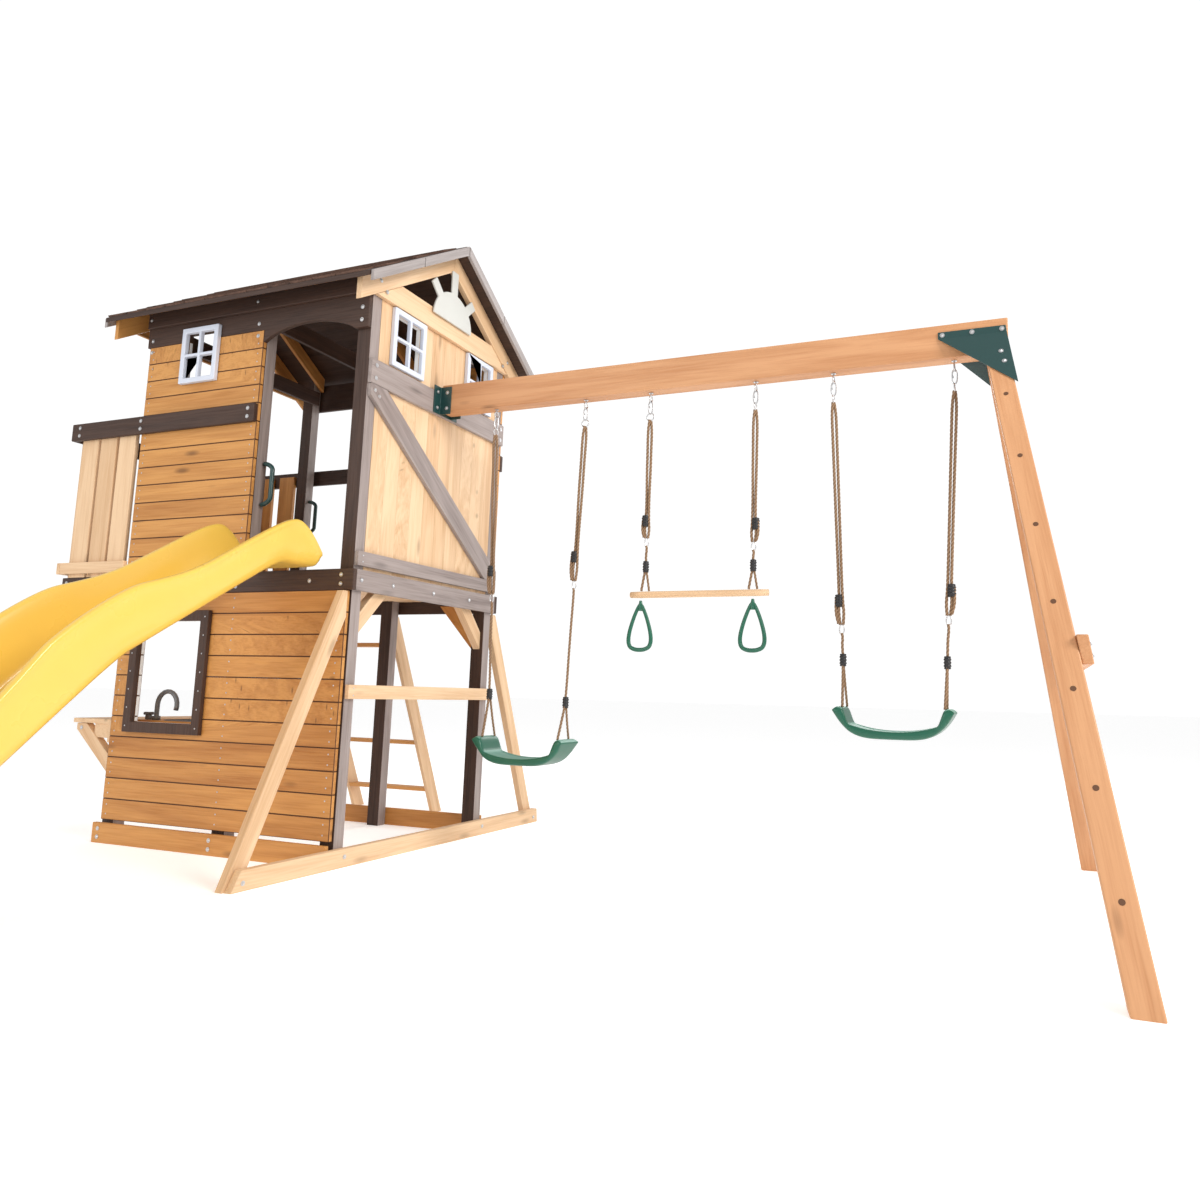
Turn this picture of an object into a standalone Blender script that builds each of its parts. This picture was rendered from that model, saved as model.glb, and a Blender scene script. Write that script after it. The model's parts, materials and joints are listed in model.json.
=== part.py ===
"""Wooden tower with balcony, slide, ladder and a swing beam. Metres, +Z up.

+X runs along the swing beam away from the tower, -Y is the slide side.
"""
import bpy
import bmesh
from math import cos, sin, pi, log, hypot, asin
from mathutils import Vector, geometry

for old in list(bpy.data.objects):
    bpy.data.objects.remove(old, do_unlink=True)

# ---- driving sizes -------------------------------------------------------
TOWER_LEN = 1.388        # house part along X
TOWER_W = 1.080          # house part along Y
BALCONY_LEN = 0.436      # deck running past the house towards -X
DECK_TOP = 1.262         # top of the deck boards
BEAM_LEN = 2.688         # swing beam from the tower face
POST_X = 0.075
POST_Y = 0.060
BOARD = 0.022            # thickness of every flat board
RIM_H = 0.093            # deck rim board height
FLOOR_T = 0.024
GAP = 0.0006             # clearance between neighbouring boards
MID_POST_X = 0.614       # right side of the middle posts, from the corner
HEADER_Z = 2.424         # bottom of the front header
WALL_TOP = 2.600
RAIL_Z = 1.971
RAIL_H = 0.089
RIDGE_Z = 3.018
EAVE_OUT = 0.150         # roof past the house in Y
ROOF_OUT_RIGHT = 0.100   # roof past the swing side face
ROOF_OUT_LEFT = 0.147    # roof past the balcony side of the house
ROOF_T = 0.030
ROOF_SLOPE = 0.657
GABLE_Z = 2.522          # bottom of the gable tie
TIE_H = 0.108
RAKE_H = 0.085
SIDE_BOARD_Z = 2.106     # bottom of the board the swing beam hangs on
SIDE_BOARD_H = 0.116
LOW_BOARD_Z = 1.279
LOW_BOARD_H = 0.064
BRACE_W = 0.085
CROSS_Z = 0.700
CROSS_H = 0.061
WIN_W = 0.236
WIN_H = 0.281
WIN_RIM = 0.026
WIN_BAR = 0.014
WIN_SIDE_Z = 2.235
WIN_SIDE_Y = 0.130       # first side window from the corner
WIN_FRONT_Z = 2.202
WIN_FRONT_X = 0.888      # front window's right edge from the corner
LOW_WALL_Z = 0.105
LOW_WIN_L = 1.263
LOW_WIN_R = 0.776
LOW_WIN_Z0 = 0.516
LOW_WIN_Z1 = 1.086
LOW_WIN_RIM = 0.048
GROUND_H = 0.092
OUT_BEAM_H = 0.076
OUT_REACH = 0.542        # ground beam past the tower, each way
STRUT_W = 0.076
STRUT_T = 0.036
BEAM_H = 0.140
BEAM_T = 0.080
BEAM_TOP = 2.259
LEG_W = 0.082
LEG_T = 0.070
LEG_SPREAD = 1.085  # outer face of each foot from the beam's middle
LEG_LEAN = 0.338  # foot further out than the top
CROSSBAR_Z = 0.920
GUSSET_T = 0.004
EYE_R = 0.014            # eye hole radius
EYE_WIRE = 0.004
HOOK_WIRE = 0.004
HOOK_R = 0.012
ROPE_R = 0.007
EYE_DROP = 0.026         # eye hole centre below the beam
SWING_A_X = 0.330        # first hanger from the tower face
SWING_SPAN = 0.490       # hanger spacing of a plank swing
SWING_IN = 0.049         # each rope leans in by this much at the seat
SWING_B_X = 1.992
TRAPEZE_X = 1.152
TRAPEZE_SPAN = 0.498
SEAT_Z_A = 0.418  # underside of the left seat
SEAT_Z_B = 0.600  # underside of the right seat
SEAT_LEN = 0.463
SEAT_DEPTH = 0.165
SEAT_T = 0.034
BAR_Z = 1.190
BAR_R = 0.015
BAR_LEN = 0.636
RING_H = 0.235
RING_W = 0.125
RING_WIRE = 0.018
LADDER_L = 1.320
LADDER_R = 0.700
LADDER_RUN = 0.520
LADDER_DEPTH = 0.090
LADDER_TOP = 1.165
TREADS = 4
TREAD_T = 0.022
TREAD_Z0 = 0.130
TREAD_STEP = 0.287
SLIDE_W = 0.470
SLIDE_OFF = 0.111        # slide's right side from the corner
SLIDE_T = 0.010
SLIDE_RUN = 2.030
SLIDE_WALL = 0.170
SLIDE_WALL_MORE = 0.125  # the walls stand taller towards the foot
SLIDE_SLOPE = 0.660
SLIDE_STEEPER = 0.370    # added slope below the knee
SLIDE_KNEE = 0.820
COUNTER_Z = 0.568
SHELF_OUT = 0.270
TAP_H = 0.140
TAP_REACH = 0.130
TAP_R = 0.011

HALF_W = TOWER_W / 2
X_LEFT = -TOWER_LEN
X_BALC = -TOWER_LEN - BALCONY_LEN
RIM_Z = DECK_TOP - RIM_H
BEAM_END = BEAM_LEN
EYE_Z = BEAM_TOP - BEAM_H - EYE_DROP


# ---- materials -----------------------------------------------------------
def material(name, color, rough, metal=0.0):
    m = bpy.data.materials.new(name)
    m.use_nodes = True
    p = m.node_tree.nodes["Principled BSDF"]
    p.inputs["Base Color"].default_value = (*color, 1.0)
    p.inputs["Roughness"].default_value = rough
    p.inputs["Metallic"].default_value = metal
    m.diffuse_color = (*color, 1.0)
    return m


DARK = material("dark_stained_wood", (0.045, 0.020, 0.012), 0.60)
GREY = material("walnut_stained_wood", (0.13, 0.10, 0.09), 0.60)
CEDAR = material("cedar_siding", (0.52, 0.24, 0.07), 0.60)
LIGHT = material("light_timber", (0.78, 0.52, 0.27), 0.60)
TAN = material("beam_timber", (0.58, 0.29, 0.12), 0.60)
WHITE = material("white_plastic", (0.75, 0.76, 0.78), 0.40)
YELLOW = material("yellow_plastic", (0.90, 0.58, 0.06), 0.30)
GREEN = material("green_plastic", (0.005, 0.12, 0.07), 0.35)
STEEL_G = material("green_coated_steel", (0.012, 0.045, 0.045), 0.40)
ZINC = material("zinc_steel", (0.60, 0.60, 0.62), 0.30, 1.0)
ROPE = material("rope", (0.55, 0.36, 0.17), 0.85)
SHINGLE = material("roof_shingle", (0.055, 0.035, 0.028), 0.80)


# ---- builders ------------------------------------------------------------
def finish(name, bm, mat, origin=(0, 0, 0), smooth=False):
    bmesh.ops.remove_doubles(bm, verts=bm.verts, dist=0.00001)
    bmesh.ops.recalc_face_normals(bm, faces=bm.faces)
    if bm.calc_volume(signed=True) < 0:
        bmesh.ops.reverse_faces(bm, faces=bm.faces)
    o = Vector(origin)
    bmesh.ops.translate(bm, verts=bm.verts, vec=-o)
    me = bpy.data.meshes.new(name)
    bm.to_mesh(me)
    bm.free()
    me.materials.append(mat)
    for p in me.polygons:
        p.use_smooth = smooth
    ob = bpy.data.objects.new(name, me)
    ob.location = o
    bpy.context.scene.collection.objects.link(ob)
    return ob


def boxes(name, mat, add, cut=(), shear=None):
    """Union of axis boxes less other boxes, walked cell by cell."""
    axes = []
    for a in range(3):
        vals = sorted({round(b[a][s], 6) for b in list(add) + list(cut) for s in (0, 1)})
        axes.append(vals)
    xs, ys, zs = axes

    def inside(i, j, k):
        if not (0 <= i < len(xs) - 1 and 0 <= j < len(ys) - 1 and 0 <= k < len(zs) - 1):
            return False
        c = ((xs[i] + xs[i + 1]) / 2, (ys[j] + ys[j + 1]) / 2, (zs[k] + zs[k + 1]) / 2)

        def hit(b):
            return all(b[a][0] < c[a] < b[a][1] for a in range(3))
        return any(hit(b) for b in add) and not any(hit(b) for b in cut)

    bm = bmesh.new()
    verts = {}

    def v(i, j, k):
        key = (i, j, k)
        if key not in verts:
            verts[key] = bm.verts.new((xs[i], ys[j], zs[k]))
        return verts[key]

    quads = {
        (1, 0, 0): ((1, 0, 0), (1, 1, 0), (1, 1, 1), (1, 0, 1)),
        (-1, 0, 0): ((0, 0, 0), (0, 0, 1), (0, 1, 1), (0, 1, 0)),
        (0, 1, 0): ((0, 1, 0), (0, 1, 1), (1, 1, 1), (1, 1, 0)),
        (0, -1, 0): ((0, 0, 0), (1, 0, 0), (1, 0, 1), (0, 0, 1)),
        (0, 0, 1): ((0, 0, 1), (1, 0, 1), (1, 1, 1), (0, 1, 1)),
        (0, 0, -1): ((0, 0, 0), (0, 1, 0), (1, 1, 0), (1, 0, 0)),
    }
    for i in range(len(xs) - 1):
        for j in range(len(ys) - 1):
            for k in range(len(zs) - 1):
                if not inside(i, j, k):
                    continue
                for d, q in quads.items():
                    if inside(i + d[0], j + d[1], k + d[2]):
                        continue
                    bm.faces.new([v(i + c[0], j + c[1], k + c[2]) for c in q])
    bmesh.ops.dissolve_limit(bm, angle_limit=0.001, verts=bm.verts, edges=bm.edges)
    if shear:
        for vert in bm.verts:
            vert.co = Vector(shear(vert.co))
    return finish(name, bm, mat)


def box(name, mat, x, y, z):
    return boxes(name, mat, [(x, y, z)])


def place(axis, u, v, w):
    if axis == "X":
        return Vector((w, u, v))
    if axis == "Y":
        return Vector((u, w, v))
    return Vector((u, v, w))


def prism(name, mat, axis, lo, hi, outer, holes=(), smooth=False, origin=(0, 0, 0)):
    """A flat outline with holes, pushed along one axis."""
    loops = [list(outer)] + [list(h) for h in holes]
    tris = geometry.tessellate_polygon([[Vector((p[0], p[1], 0)) for p in lp] for lp in loops])
    flat = [p for lp in loops for p in lp]
    bm = bmesh.new()
    low = [bm.verts.new(place(axis, p[0], p[1], lo)) for p in flat]
    top = [bm.verts.new(place(axis, p[0], p[1], hi)) for p in flat]
    for t in tris:
        bm.faces.new([low[i] for i in t])
        bm.faces.new([top[i] for i in reversed(t)])
    start = 0
    for lp in loops:
        n = len(lp)
        for i in range(n):
            a = start + i
            b = start + (i + 1) % n
            bm.faces.new((low[a], low[b], top[b], top[a]))
        start += n
    return finish(name, bm, mat, origin, smooth)


def sweep(name, mat, rings, origin=(0, 0, 0), smooth=True):
    """Closed loops of equal length joined in order and capped."""
    bm = bmesh.new()
    rows = [[bm.verts.new(p) for p in ring] for ring in rings]
    n = len(rows[0])
    for a, b in zip(rows, rows[1:]):
        for i in range(n):
            bm.faces.new((a[i], a[(i + 1) % n], b[(i + 1) % n], b[i]))
    bm.faces.new(rows[0])
    bm.faces.new(list(reversed(rows[-1])))
    return finish(name, bm, mat, origin, smooth)


def tube(name, mat, path, radii, sides, origin=(0, 0, 0)):
    """A round bar along a path, frames carried along without twist."""
    pts = [Vector(p) for p in path]
    rings = []
    ref = None
    for i, p in enumerate(pts):
        a = pts[max(i - 1, 0)]
        b = pts[min(i + 1, len(pts) - 1)]
        d = (b - a).normalized()
        if ref is None:
            ref = d.orthogonal().normalized()
        ref = (ref - d * ref.dot(d)).normalized()
        other = d.cross(ref)
        r = radii[i] if isinstance(radii, (list, tuple)) else radii
        ring = []
        for s in range(sides):
            t = 2 * pi * s / sides
            ring.append(p + (ref * cos(t) + other * sin(t)) * r)
        rings.append(ring)
    return sweep(name, mat, rings, origin)


# ---- posts ---------------------------------------------------------------
FRONT_Y = (GAP, POST_Y)
REAR_Y = (TOWER_W - POST_Y, TOWER_W - GAP)
COLUMNS = {
    "right": (-POST_X, -GAP),
    "middle": (-MID_POST_X - POST_X, -MID_POST_X),
    "left": (X_LEFT, X_LEFT + POST_X),
}
for col, xr in COLUMNS.items():
    for row, yr in (("front", FRONT_Y), ("rear", REAR_Y)):
        box(f"post_{row}_{col}", DARK, xr, yr, (0.0, WALL_TOP))

# ---- deck ----------------------------------------------------------------
OUTER_X = (X_BALC, BOARD)
OUTER_Y = (-BOARD, TOWER_W + BOARD)
boxes("deck_rim", DARK,
      [(OUTER_X, OUTER_Y, (RIM_Z, DECK_TOP))],
      [((X_BALC + BOARD, 0.0), (0.0, TOWER_W), (RIM_Z - 1, DECK_TOP + 1))])
post_cuts = []
for xr in COLUMNS.values():
    cut_x = (xr[0] - GAP, 1.0 if xr[1] > -2 * GAP else xr[1] + 2 * GAP)
    post_cuts.append((cut_x, (-1.0, FRONT_Y[1] + 3 * GAP), (0, 3)))
    post_cuts.append((cut_x, (REAR_Y[0] - 3 * GAP, TOWER_W + 1), (0, 3)))
boxes("deck_floor", LIGHT,
      [((X_BALC + BOARD + GAP, -GAP), (GAP, TOWER_W - GAP), (DECK_TOP - FLOOR_T, DECK_TOP))],
      post_cuts)

# ---- front (slide side) --------------------------------------------------
SKIN = (-BOARD, -GAP)
PROUD = (-2 * BOARD - GAP, -BOARD - GAP)
wall_left = X_LEFT + 0.020
boxes("wall_front_lower", CEDAR,
      [((wall_left, -0.008), SKIN, (LOW_WALL_Z, RIM_Z - GAP))],
      [((-LOW_WIN_L + LOW_WIN_RIM, -LOW_WIN_R - LOW_WIN_RIM), (-1, 1),
        (LOW_WIN_Z0 + LOW_WIN_RIM, LOW_WIN_Z1 - LOW_WIN_RIM))])
boxes("frame_serving_window", DARK,
      [((-LOW_WIN_L, -LOW_WIN_R), PROUD, (LOW_WIN_Z0, LOW_WIN_Z1))],
      [((-LOW_WIN_L + LOW_WIN_RIM, -LOW_WIN_R - LOW_WIN_RIM), (-1, 1),
        (LOW_WIN_Z0 + LOW_WIN_RIM, LOW_WIN_Z1 - LOW_WIN_RIM))])
win_x = (-WIN_FRONT_X - WIN_W, -WIN_FRONT_X)
pane_x = (win_x[0] + WIN_RIM, win_x[1] - WIN_RIM)
pane_z = (WIN_FRONT_Z + WIN_RIM, WIN_FRONT_Z + WIN_H - WIN_RIM)
boxes("wall_front_upper", CEDAR,
      [((wall_left, -MID_POST_X), SKIN, (DECK_TOP + 0.004, HEADER_Z - GAP))],
      [(pane_x, (-1, 1), (pane_z[0], 3))])


def window(name, axis, u, z, plane):
    def as_box(uu, ww, zz):
        return (uu, ww, zz) if axis == "Y" else (ww, uu, zz)
    mid_u = (u[0] + u[1]) / 2
    mid_z = (z[0] + z[1]) / 2
    inner_u = (u[0] + WIN_RIM, u[1] - WIN_RIM)
    inner_z = (z[0] + WIN_RIM, z[1] - WIN_RIM)
    cuts = []
    for ua, ub in ((inner_u[0], mid_u - WIN_BAR / 2), (mid_u + WIN_BAR / 2, inner_u[1])):
        for za, zb in ((inner_z[0], mid_z - WIN_BAR / 2), (mid_z + WIN_BAR / 2, inner_z[1])):
            cuts.append(as_box((ua, ub), (plane[0] - 1, plane[1] + 1), (za, zb)))
    return boxes(name, WHITE, [as_box(u, plane, z)], cuts)


window("window_front", "Y", win_x, (WIN_FRONT_Z, WIN_FRONT_Z + WIN_H), PROUD)
# header with a shallow arch over the slide doorway and a notch for the window
door_l = -MID_POST_X
door_r = -POST_X
arch = []
ARCH_LOW = HEADER_Z - 0.062
ARCH_N = 14
for i in range(ARCH_N + 1):
    t = i / ARCH_N
    arch.append((door_l + (door_r - door_l) * t, ARCH_LOW + 0.068 * sin(pi * t) ** 0.7))
header = [(X_LEFT, WALL_TOP), (X_LEFT, HEADER_Z), (pane_x[0], HEADER_Z), (pane_x[0], pane_z[1])]
header += [(pane_x[1], pane_z[1]), (pane_x[1], HEADER_Z), (door_l, HEADER_Z)]
header += arch + [(-GAP, ARCH_LOW), (-GAP, WALL_TOP)]
prism("header_front", DARK, "Y", SKIN[0], SKIN[1], header)
rail_parts = (RAIL_Z, RAIL_Z + RAIL_H)

# ---- balcony fence, one frame round three sides -------------------------
PICKET = 0.114
fence = []
PICKETS_X = 3
pitch = (BALCONY_LEN - 0.020) / PICKETS_X
low_rail = (LOW_BOARD_Z, LOW_BOARD_Z + 0.057)
rear_inner = (TOWER_W + GAP, TOWER_W + BOARD)
rear_outer = (TOWER_W + BOARD, TOWER_W + 2 * BOARD)
front_run = ((-BOARD, -GAP), (-2 * BOARD, -BOARD), PICKETS_X, 0.040, pitch - 0.006)
rear_run = (rear_inner, rear_outer, 2, 0.067, pitch * 1.230)
for inner, outer, count, first, step in (front_run, rear_run):
    for i in range(count):
        x0 = X_BALC + first + i * step
        fence.append(((x0, min(x0 + PICKET, wall_left - GAP)), inner, (DECK_TOP + GAP, RAIL_Z + 0.060)))
    fence.append(((X_BALC + GAP, wall_left - GAP), outer, low_rail))
end_inner = (X_BALC, X_BALC + BOARD)
PICKETS_Y = 7
pitch_y = (TOWER_W + 2 * BOARD) / PICKETS_Y
for i in range(PICKETS_Y):
    y0 = -BOARD + i * pitch_y + (pitch_y - PICKET) / 2
    fence.append((end_inner, (y0, y0 + PICKET), (DECK_TOP + GAP, RAIL_Z + 0.060)))
fence.append(((X_BALC - BOARD, X_BALC), (-2 * BOARD, TOWER_W + 2 * BOARD), low_rail))
fence.append(((X_BALC - BOARD, X_BALC + BOARD), (-2 * BOARD, -BOARD), low_rail))
fence.append(((X_BALC - BOARD, X_BALC + BOARD), (TOWER_W + BOARD, TOWER_W + 2 * BOARD), low_rail))
boxes("fence_balcony", LIGHT, fence)
rear_rail_y = (TOWER_W + BOARD + GAP, TOWER_W + 2 * BOARD + GAP)
rail_out = X_BALC - BOARD
boxes("rail_top", DARK,
      [((rail_out, -MID_POST_X), PROUD, rail_parts),
       ((rail_out, -0.002), rear_rail_y, rail_parts),
       ((rail_out, X_BALC - GAP), (PROUD[0], rear_rail_y[1]), rail_parts)])
# rear wall panel between the middle and right posts
boxes("wall_rear", CEDAR,
      [((-MID_POST_X - POST_X / 2, -0.004), (TOWER_W + GAP, TOWER_W + BOARD),
        (DECK_TOP + 0.004, WALL_TOP - 0.010))])

# ---- swing-side face -----------------------------------------------------
side_y = (POST_Y + GAP, TOWER_W - POST_Y - GAP)
side_win_y = (WIN_SIDE_Y, TOWER_W - WIN_SIDE_Y - WIN_W)
side_cuts = []
for y0 in side_win_y:
    side_cuts.append(((-1, 1), (y0 + WIN_RIM, y0 + WIN_W - WIN_RIM),
                      (WIN_SIDE_Z + WIN_RIM, WIN_SIDE_Z + WIN_H - WIN_RIM)))
boxes("wall_side", LIGHT,
      [((-BOARD - GAP, -GAP), side_y, (DECK_TOP + 0.004, GABLE_Z + TIE_H - 0.004))], side_cuts)
OUT = (GAP, BOARD)
for tag, y0 in zip("ab", side_win_y):
    window(f"window_side_{tag}", "X", (y0, y0 + WIN_W), (WIN_SIDE_Z, WIN_SIDE_Z + WIN_H), OUT)
top_z = SIDE_BOARD_Z
low_z = LOW_BOARD_Z + LOW_BOARD_H
cut = BRACE_W * 1.28
prism("brace_side", GREY, "X", OUT[0], OUT[1],
      [(0.004, SIDE_BOARD_Z + SIDE_BOARD_H), (0.004, SIDE_BOARD_Z - 0.055), (TOWER_W - cut, low_z),
       (0.004, low_z), (0.004, LOW_BOARD_Z), (TOWER_W, LOW_BOARD_Z), (TOWER_W, low_z + 0.055),
       (cut, top_z), (TOWER_W, top_z), (TOWER_W, SIDE_BOARD_Z + SIDE_BOARD_H)])
# gable frame: tie and two rakes
roof_low = RIDGE_Z - ROOF_T * hypot(1, ROOF_SLOPE)


def under_roof(y):
    return roof_low - abs(y - HALF_W) * ROOF_SLOPE - 0.002


gl = -EAVE_OUT + 0.040
gr = TOWER_W + EAVE_OUT - 0.040
tie_top = GABLE_Z + TIE_H
y_hit = HALF_W - (under_roof(HALF_W) - RAKE_H * 1.2 - tie_top) / ROOF_SLOPE
gable_out = [(0.0, GABLE_Z), (TOWER_W, GABLE_Z), (TOWER_W, under_roof(TOWER_W) - RAKE_H * 1.2),
             (gr, under_roof(gr) - RAKE_H * 1.2), (gr, under_roof(gr)), (HALF_W, under_roof(HALF_W)),
             (gl, under_roof(gl)), (gl, under_roof(gl) - RAKE_H * 1.2),
             (0.0, under_roof(0.0) - RAKE_H * 1.2)]
gable_hole = [(y_hit, tie_top), (HALF_W, under_roof(HALF_W) - RAKE_H * 1.2), (TOWER_W - y_hit, tie_top)]
prism("gable_right", LIGHT, "X", OUT[0], OUT[1] + 0.008, gable_out, [gable_hole])
prism("gable_left", LIGHT, "X", X_LEFT - ROOF_OUT_LEFT + 0.020, X_LEFT - ROOF_OUT_LEFT + 0.042,
      gable_out, [gable_hole])
# half sun on the tie
SUN_R = 0.158
RAY_W = 0.050
sun_z = tie_top - 0.032
rake_apex = under_roof(HALF_W) - RAKE_H * 1.2
sun = []
before = 0.0
lean_in = asin(RAY_W / 2 / SUN_R)
for ray in (pi / 4, pi / 2, 3 * pi / 4):
    for i in range(7):
        t = before + (ray - lean_in - before) * i / 6
        sun.append((HALF_W + SUN_R * cos(t), sun_z + SUN_R * sin(t)))
    long = (rake_apex - sun_z) / (sin(ray) + abs(cos(ray)) * ROOF_SLOPE) - 0.004
    for w in (-RAY_W / 2, RAY_W / 2):
        sun.append((HALF_W + long * cos(ray) - w * sin(ray), sun_z + long * sin(ray) + w * cos(ray)))
    before = ray + lean_in
for i in range(7):
    t = before + (pi - before) * i / 6
    sun.append((HALF_W + SUN_R * cos(t), sun_z + SUN_R * sin(t)))
prism("sun_panel", WHITE, "X", OUT[1] + 0.008 + GAP, OUT[1] + 0.020, sun)
# ---- roof ----------------------------------------------------------------
roof_x = (X_LEFT - ROOF_OUT_LEFT, ROOF_OUT_RIGHT)
for tag, sgn in (("front", -1), ("rear", 1)):
    y_ridge = HALF_W + sgn * GAP
    y_eave = HALF_W + sgn * (HALF_W + EAVE_OUT)
    drop = (HALF_W + EAVE_OUT) * ROOF_SLOPE
    thick = ROOF_T * hypot(1, ROOF_SLOPE)
    prism(f"roof_{tag}", SHINGLE, "X", roof_x[0], roof_x[1],
          [(y_ridge, RIDGE_Z), (y_eave, RIDGE_Z - drop), (y_eave, RIDGE_Z - drop - thick),
           (y_ridge, RIDGE_Z - thick)])
# ---- lower side: cross rail, ground boards, outrigger --------------------
box("rail_cross", LIGHT, OUT, (0.0, TOWER_W), (CROSS_Z, CROSS_Z + CROSS_H))
OUT_Y = (-OUT_REACH, TOWER_W + OUT_REACH)
prism("beam_ground", LIGHT, "X", GAP, 0.036,
      [(OUT_Y[0], 0.0), (OUT_Y[1], 0.0), (OUT_Y[1] - 0.010, OUT_BEAM_H), (OUT_Y[0] + 0.040, OUT_BEAM_H)])
box("board_ground_front", LIGHT, (X_LEFT, -0.004), PROUD, (0.0, GROUND_H))
box("board_ground_rear", LIGHT, (X_LEFT, -0.004), (TOWER_W + GAP, TOWER_W + BOARD), (0.0, GROUND_H))
STRUT_TOP = RIM_Z - 0.006
STRUT_SLOPE = 0.430         # run out per metre down
for tag, sgn, edge in (("front", -1, 0.0), ("rear", 1, TOWER_W)):
    out_top = 0.050
    out_foot = out_top + STRUT_SLOPE * STRUT_TOP
    face = BOARD + GAP
    notch = STRUT_TOP - (face - out_top + STRUT_W) / STRUT_SLOPE
    reach = [(out_foot, 0.0), (out_foot - STRUT_W, 0.0), (face, notch)]
    reach += [(face, STRUT_TOP), (out_top, STRUT_TOP)]
    prism(f"strut_{tag}", LIGHT, "X", -STRUT_T - GAP, -GAP, [(edge + sgn * y, z) for y, z in reach])

# ---- ladder --------------------------------------------------------------
def lean(co):
    return (co.x, co.y + (LADDER_TOP - co.z) * LADDER_RUN / LADDER_TOP, co.z)


lad_y = (TOWER_W + BOARD + 0.002, TOWER_W + BOARD + 0.002 + LADDER_DEPTH)
lad = [((-LADDER_L, -LADDER_L + BOARD), lad_y, (0.0, LADDER_TOP)),
       ((-LADDER_R - BOARD, -LADDER_R), lad_y, (0.0, LADDER_TOP))]
for i in range(TREADS):
    z0 = TREAD_Z0 + i * TREAD_STEP
    lad.append(((-LADDER_L, -LADDER_R), lad_y, (z0, z0 + TREAD_T)))
boxes("ladder", LIGHT, lad, shear=lean)


# ---- slide ---------------------------------------------------------------
def slide_rings():
    rings = []
    x1 = -SLIDE_OFF
    x0 = x1 - SLIDE_W
    z_top = DECK_TOP + 0.012
    n = 64
    for i in range(n + 1):
        s = i / n
        y = 0.0 - s * SLIDE_RUN
        d = -y
        ease = 0.05
        over = max(0.0, d - 0.150)
        z = z_top - SLIDE_SLOPE * (over - ease * (1 - 2.71828 ** (-over / ease)))
        past = max(0.0, d - SLIDE_KNEE)
        z -= SLIDE_STEEPER * (past - ease * (1 - 2.71828 ** (-past / ease)))
        floor = 0.130
        k = 0.085
        blend = (z - floor) / k
        if blend < 4:
            z = floor + k * log(1 + 2.71828 ** blend) if blend > -30 else floor
        grown = min(1.0, max(0.0, (d - 0.55) / 0.58))
        rise = SLIDE_WALL + SLIDE_WALL_MORE * grown * grown * (3 - 2 * grown)
        if d < 0.17:
            rise *= 0.14 + 0.86 * sin(pi / 2 * d / 0.17)
        if d > 1.13:
            rise *= max(0.42, 1 - (d - 1.13) * 1.2)
        t = SLIDE_T
        out = 0.035
        ring = [(x0 + out, z - t), (x0, z + rise - 0.020), (x0, z + rise), (x0 + 0.022, z + rise + 0.006),
                (x0 + 0.036, z + rise - 0.004), (x0 + out + 0.024, z + 0.030), (x0 + out + 0.060, z),
                (x1 - out - 0.060, z), (x1 - out - 0.024, z + 0.030), (x1 - 0.036, z + rise - 0.004),
                (x1 - 0.022, z + rise + 0.006), (x1, z + rise), (x1, z + rise - 0.020), (x1 - out, z - t)]
        rings.append([(p[0], y - 2 * BOARD - 0.008, p[1]) for p in ring])
    return rings


sweep("slide", YELLOW, slide_rings())

# ---- serving counter, shelf, tap ----------------------------------------
counter_x = (X_LEFT + POST_X + 0.004, -MID_POST_X - 0.030)
counter_y = (POST_Y + 0.004, 0.350)
sink = ((-1.160, -0.880), (0.100, 0.280), (COUNTER_Z - 0.010, COUNTER_Z + 1))
boxes("counter", LIGHT, [(counter_x, counter_y, (COUNTER_Z - 0.022, COUNTER_Z))], [sink])
boxes("shelf_end", LIGHT,
      [((X_LEFT - SHELF_OUT, X_LEFT - GAP), (0.0, TOWER_W), (COUNTER_Z - 0.022, COUNTER_Z)),
       ((X_LEFT - 0.024, X_LEFT - GAP), (0.0, TOWER_W), (COUNTER_Z - 0.110, COUNTER_Z)),
       ((X_LEFT - 0.130, X_LEFT - GAP), (0.010, 0.034), (COUNTER_Z - 0.090, COUNTER_Z)),
       ((X_LEFT - 0.130, X_LEFT - GAP), (TOWER_W - 0.034, TOWER_W - 0.010), (COUNTER_Z - 0.090, COUNTER_Z))])
tap_x = -1.235
tap_y = 0.110
arch_r = TAP_REACH / 2
tap = [(tap_x, tap_y, COUNTER_Z + 2 * GAP), (tap_x, tap_y, COUNTER_Z + 0.020)]
tap_rad = [TAP_R * 1.7, TAP_R * 1.7]
tap.append((tap_x, tap_y, COUNTER_Z + 0.021))
tap_rad.append(TAP_R)
for i in range(13):
    t = pi - pi * 1.12 * i / 12
    tap.append((tap_x + arch_r + arch_r * cos(t), tap_y, COUNTER_Z + TAP_H - arch_r + arch_r * sin(t)))
    tap_rad.append(TAP_R)
tube("tap", GREY, tap, tap_rad, 12, (tap_x, tap_y, COUNTER_Z))

# ---- swing frame ---------------------------------------------------------
beam_y = (HALF_W - BEAM_T / 2, HALF_W + BEAM_T / 2)
BEAM_START = BOARD + 0.010
box("beam_swing", TAN, (BEAM_START, BEAM_END), beam_y, (BEAM_TOP - BEAM_H, BEAM_TOP))


FOLD_Z = BEAM_TOP - 0.060
LEG_TOP = BEAM_TOP - BEAM_H - 2 * GAP
LEG_SLOPE = (LEG_SPREAD - BEAM_T / 2) / FOLD_Z
LEG_CUT = LEG_T * hypot(1, LEG_SLOPE)
LEG_X = BEAM_END - LEG_W / 2 - 0.004


def leg_out(z):
    """Outer face of a leg at height z, from the beam's middle."""
    return BEAM_T / 2 + LEG_SLOPE * (FOLD_Z - z)


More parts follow.
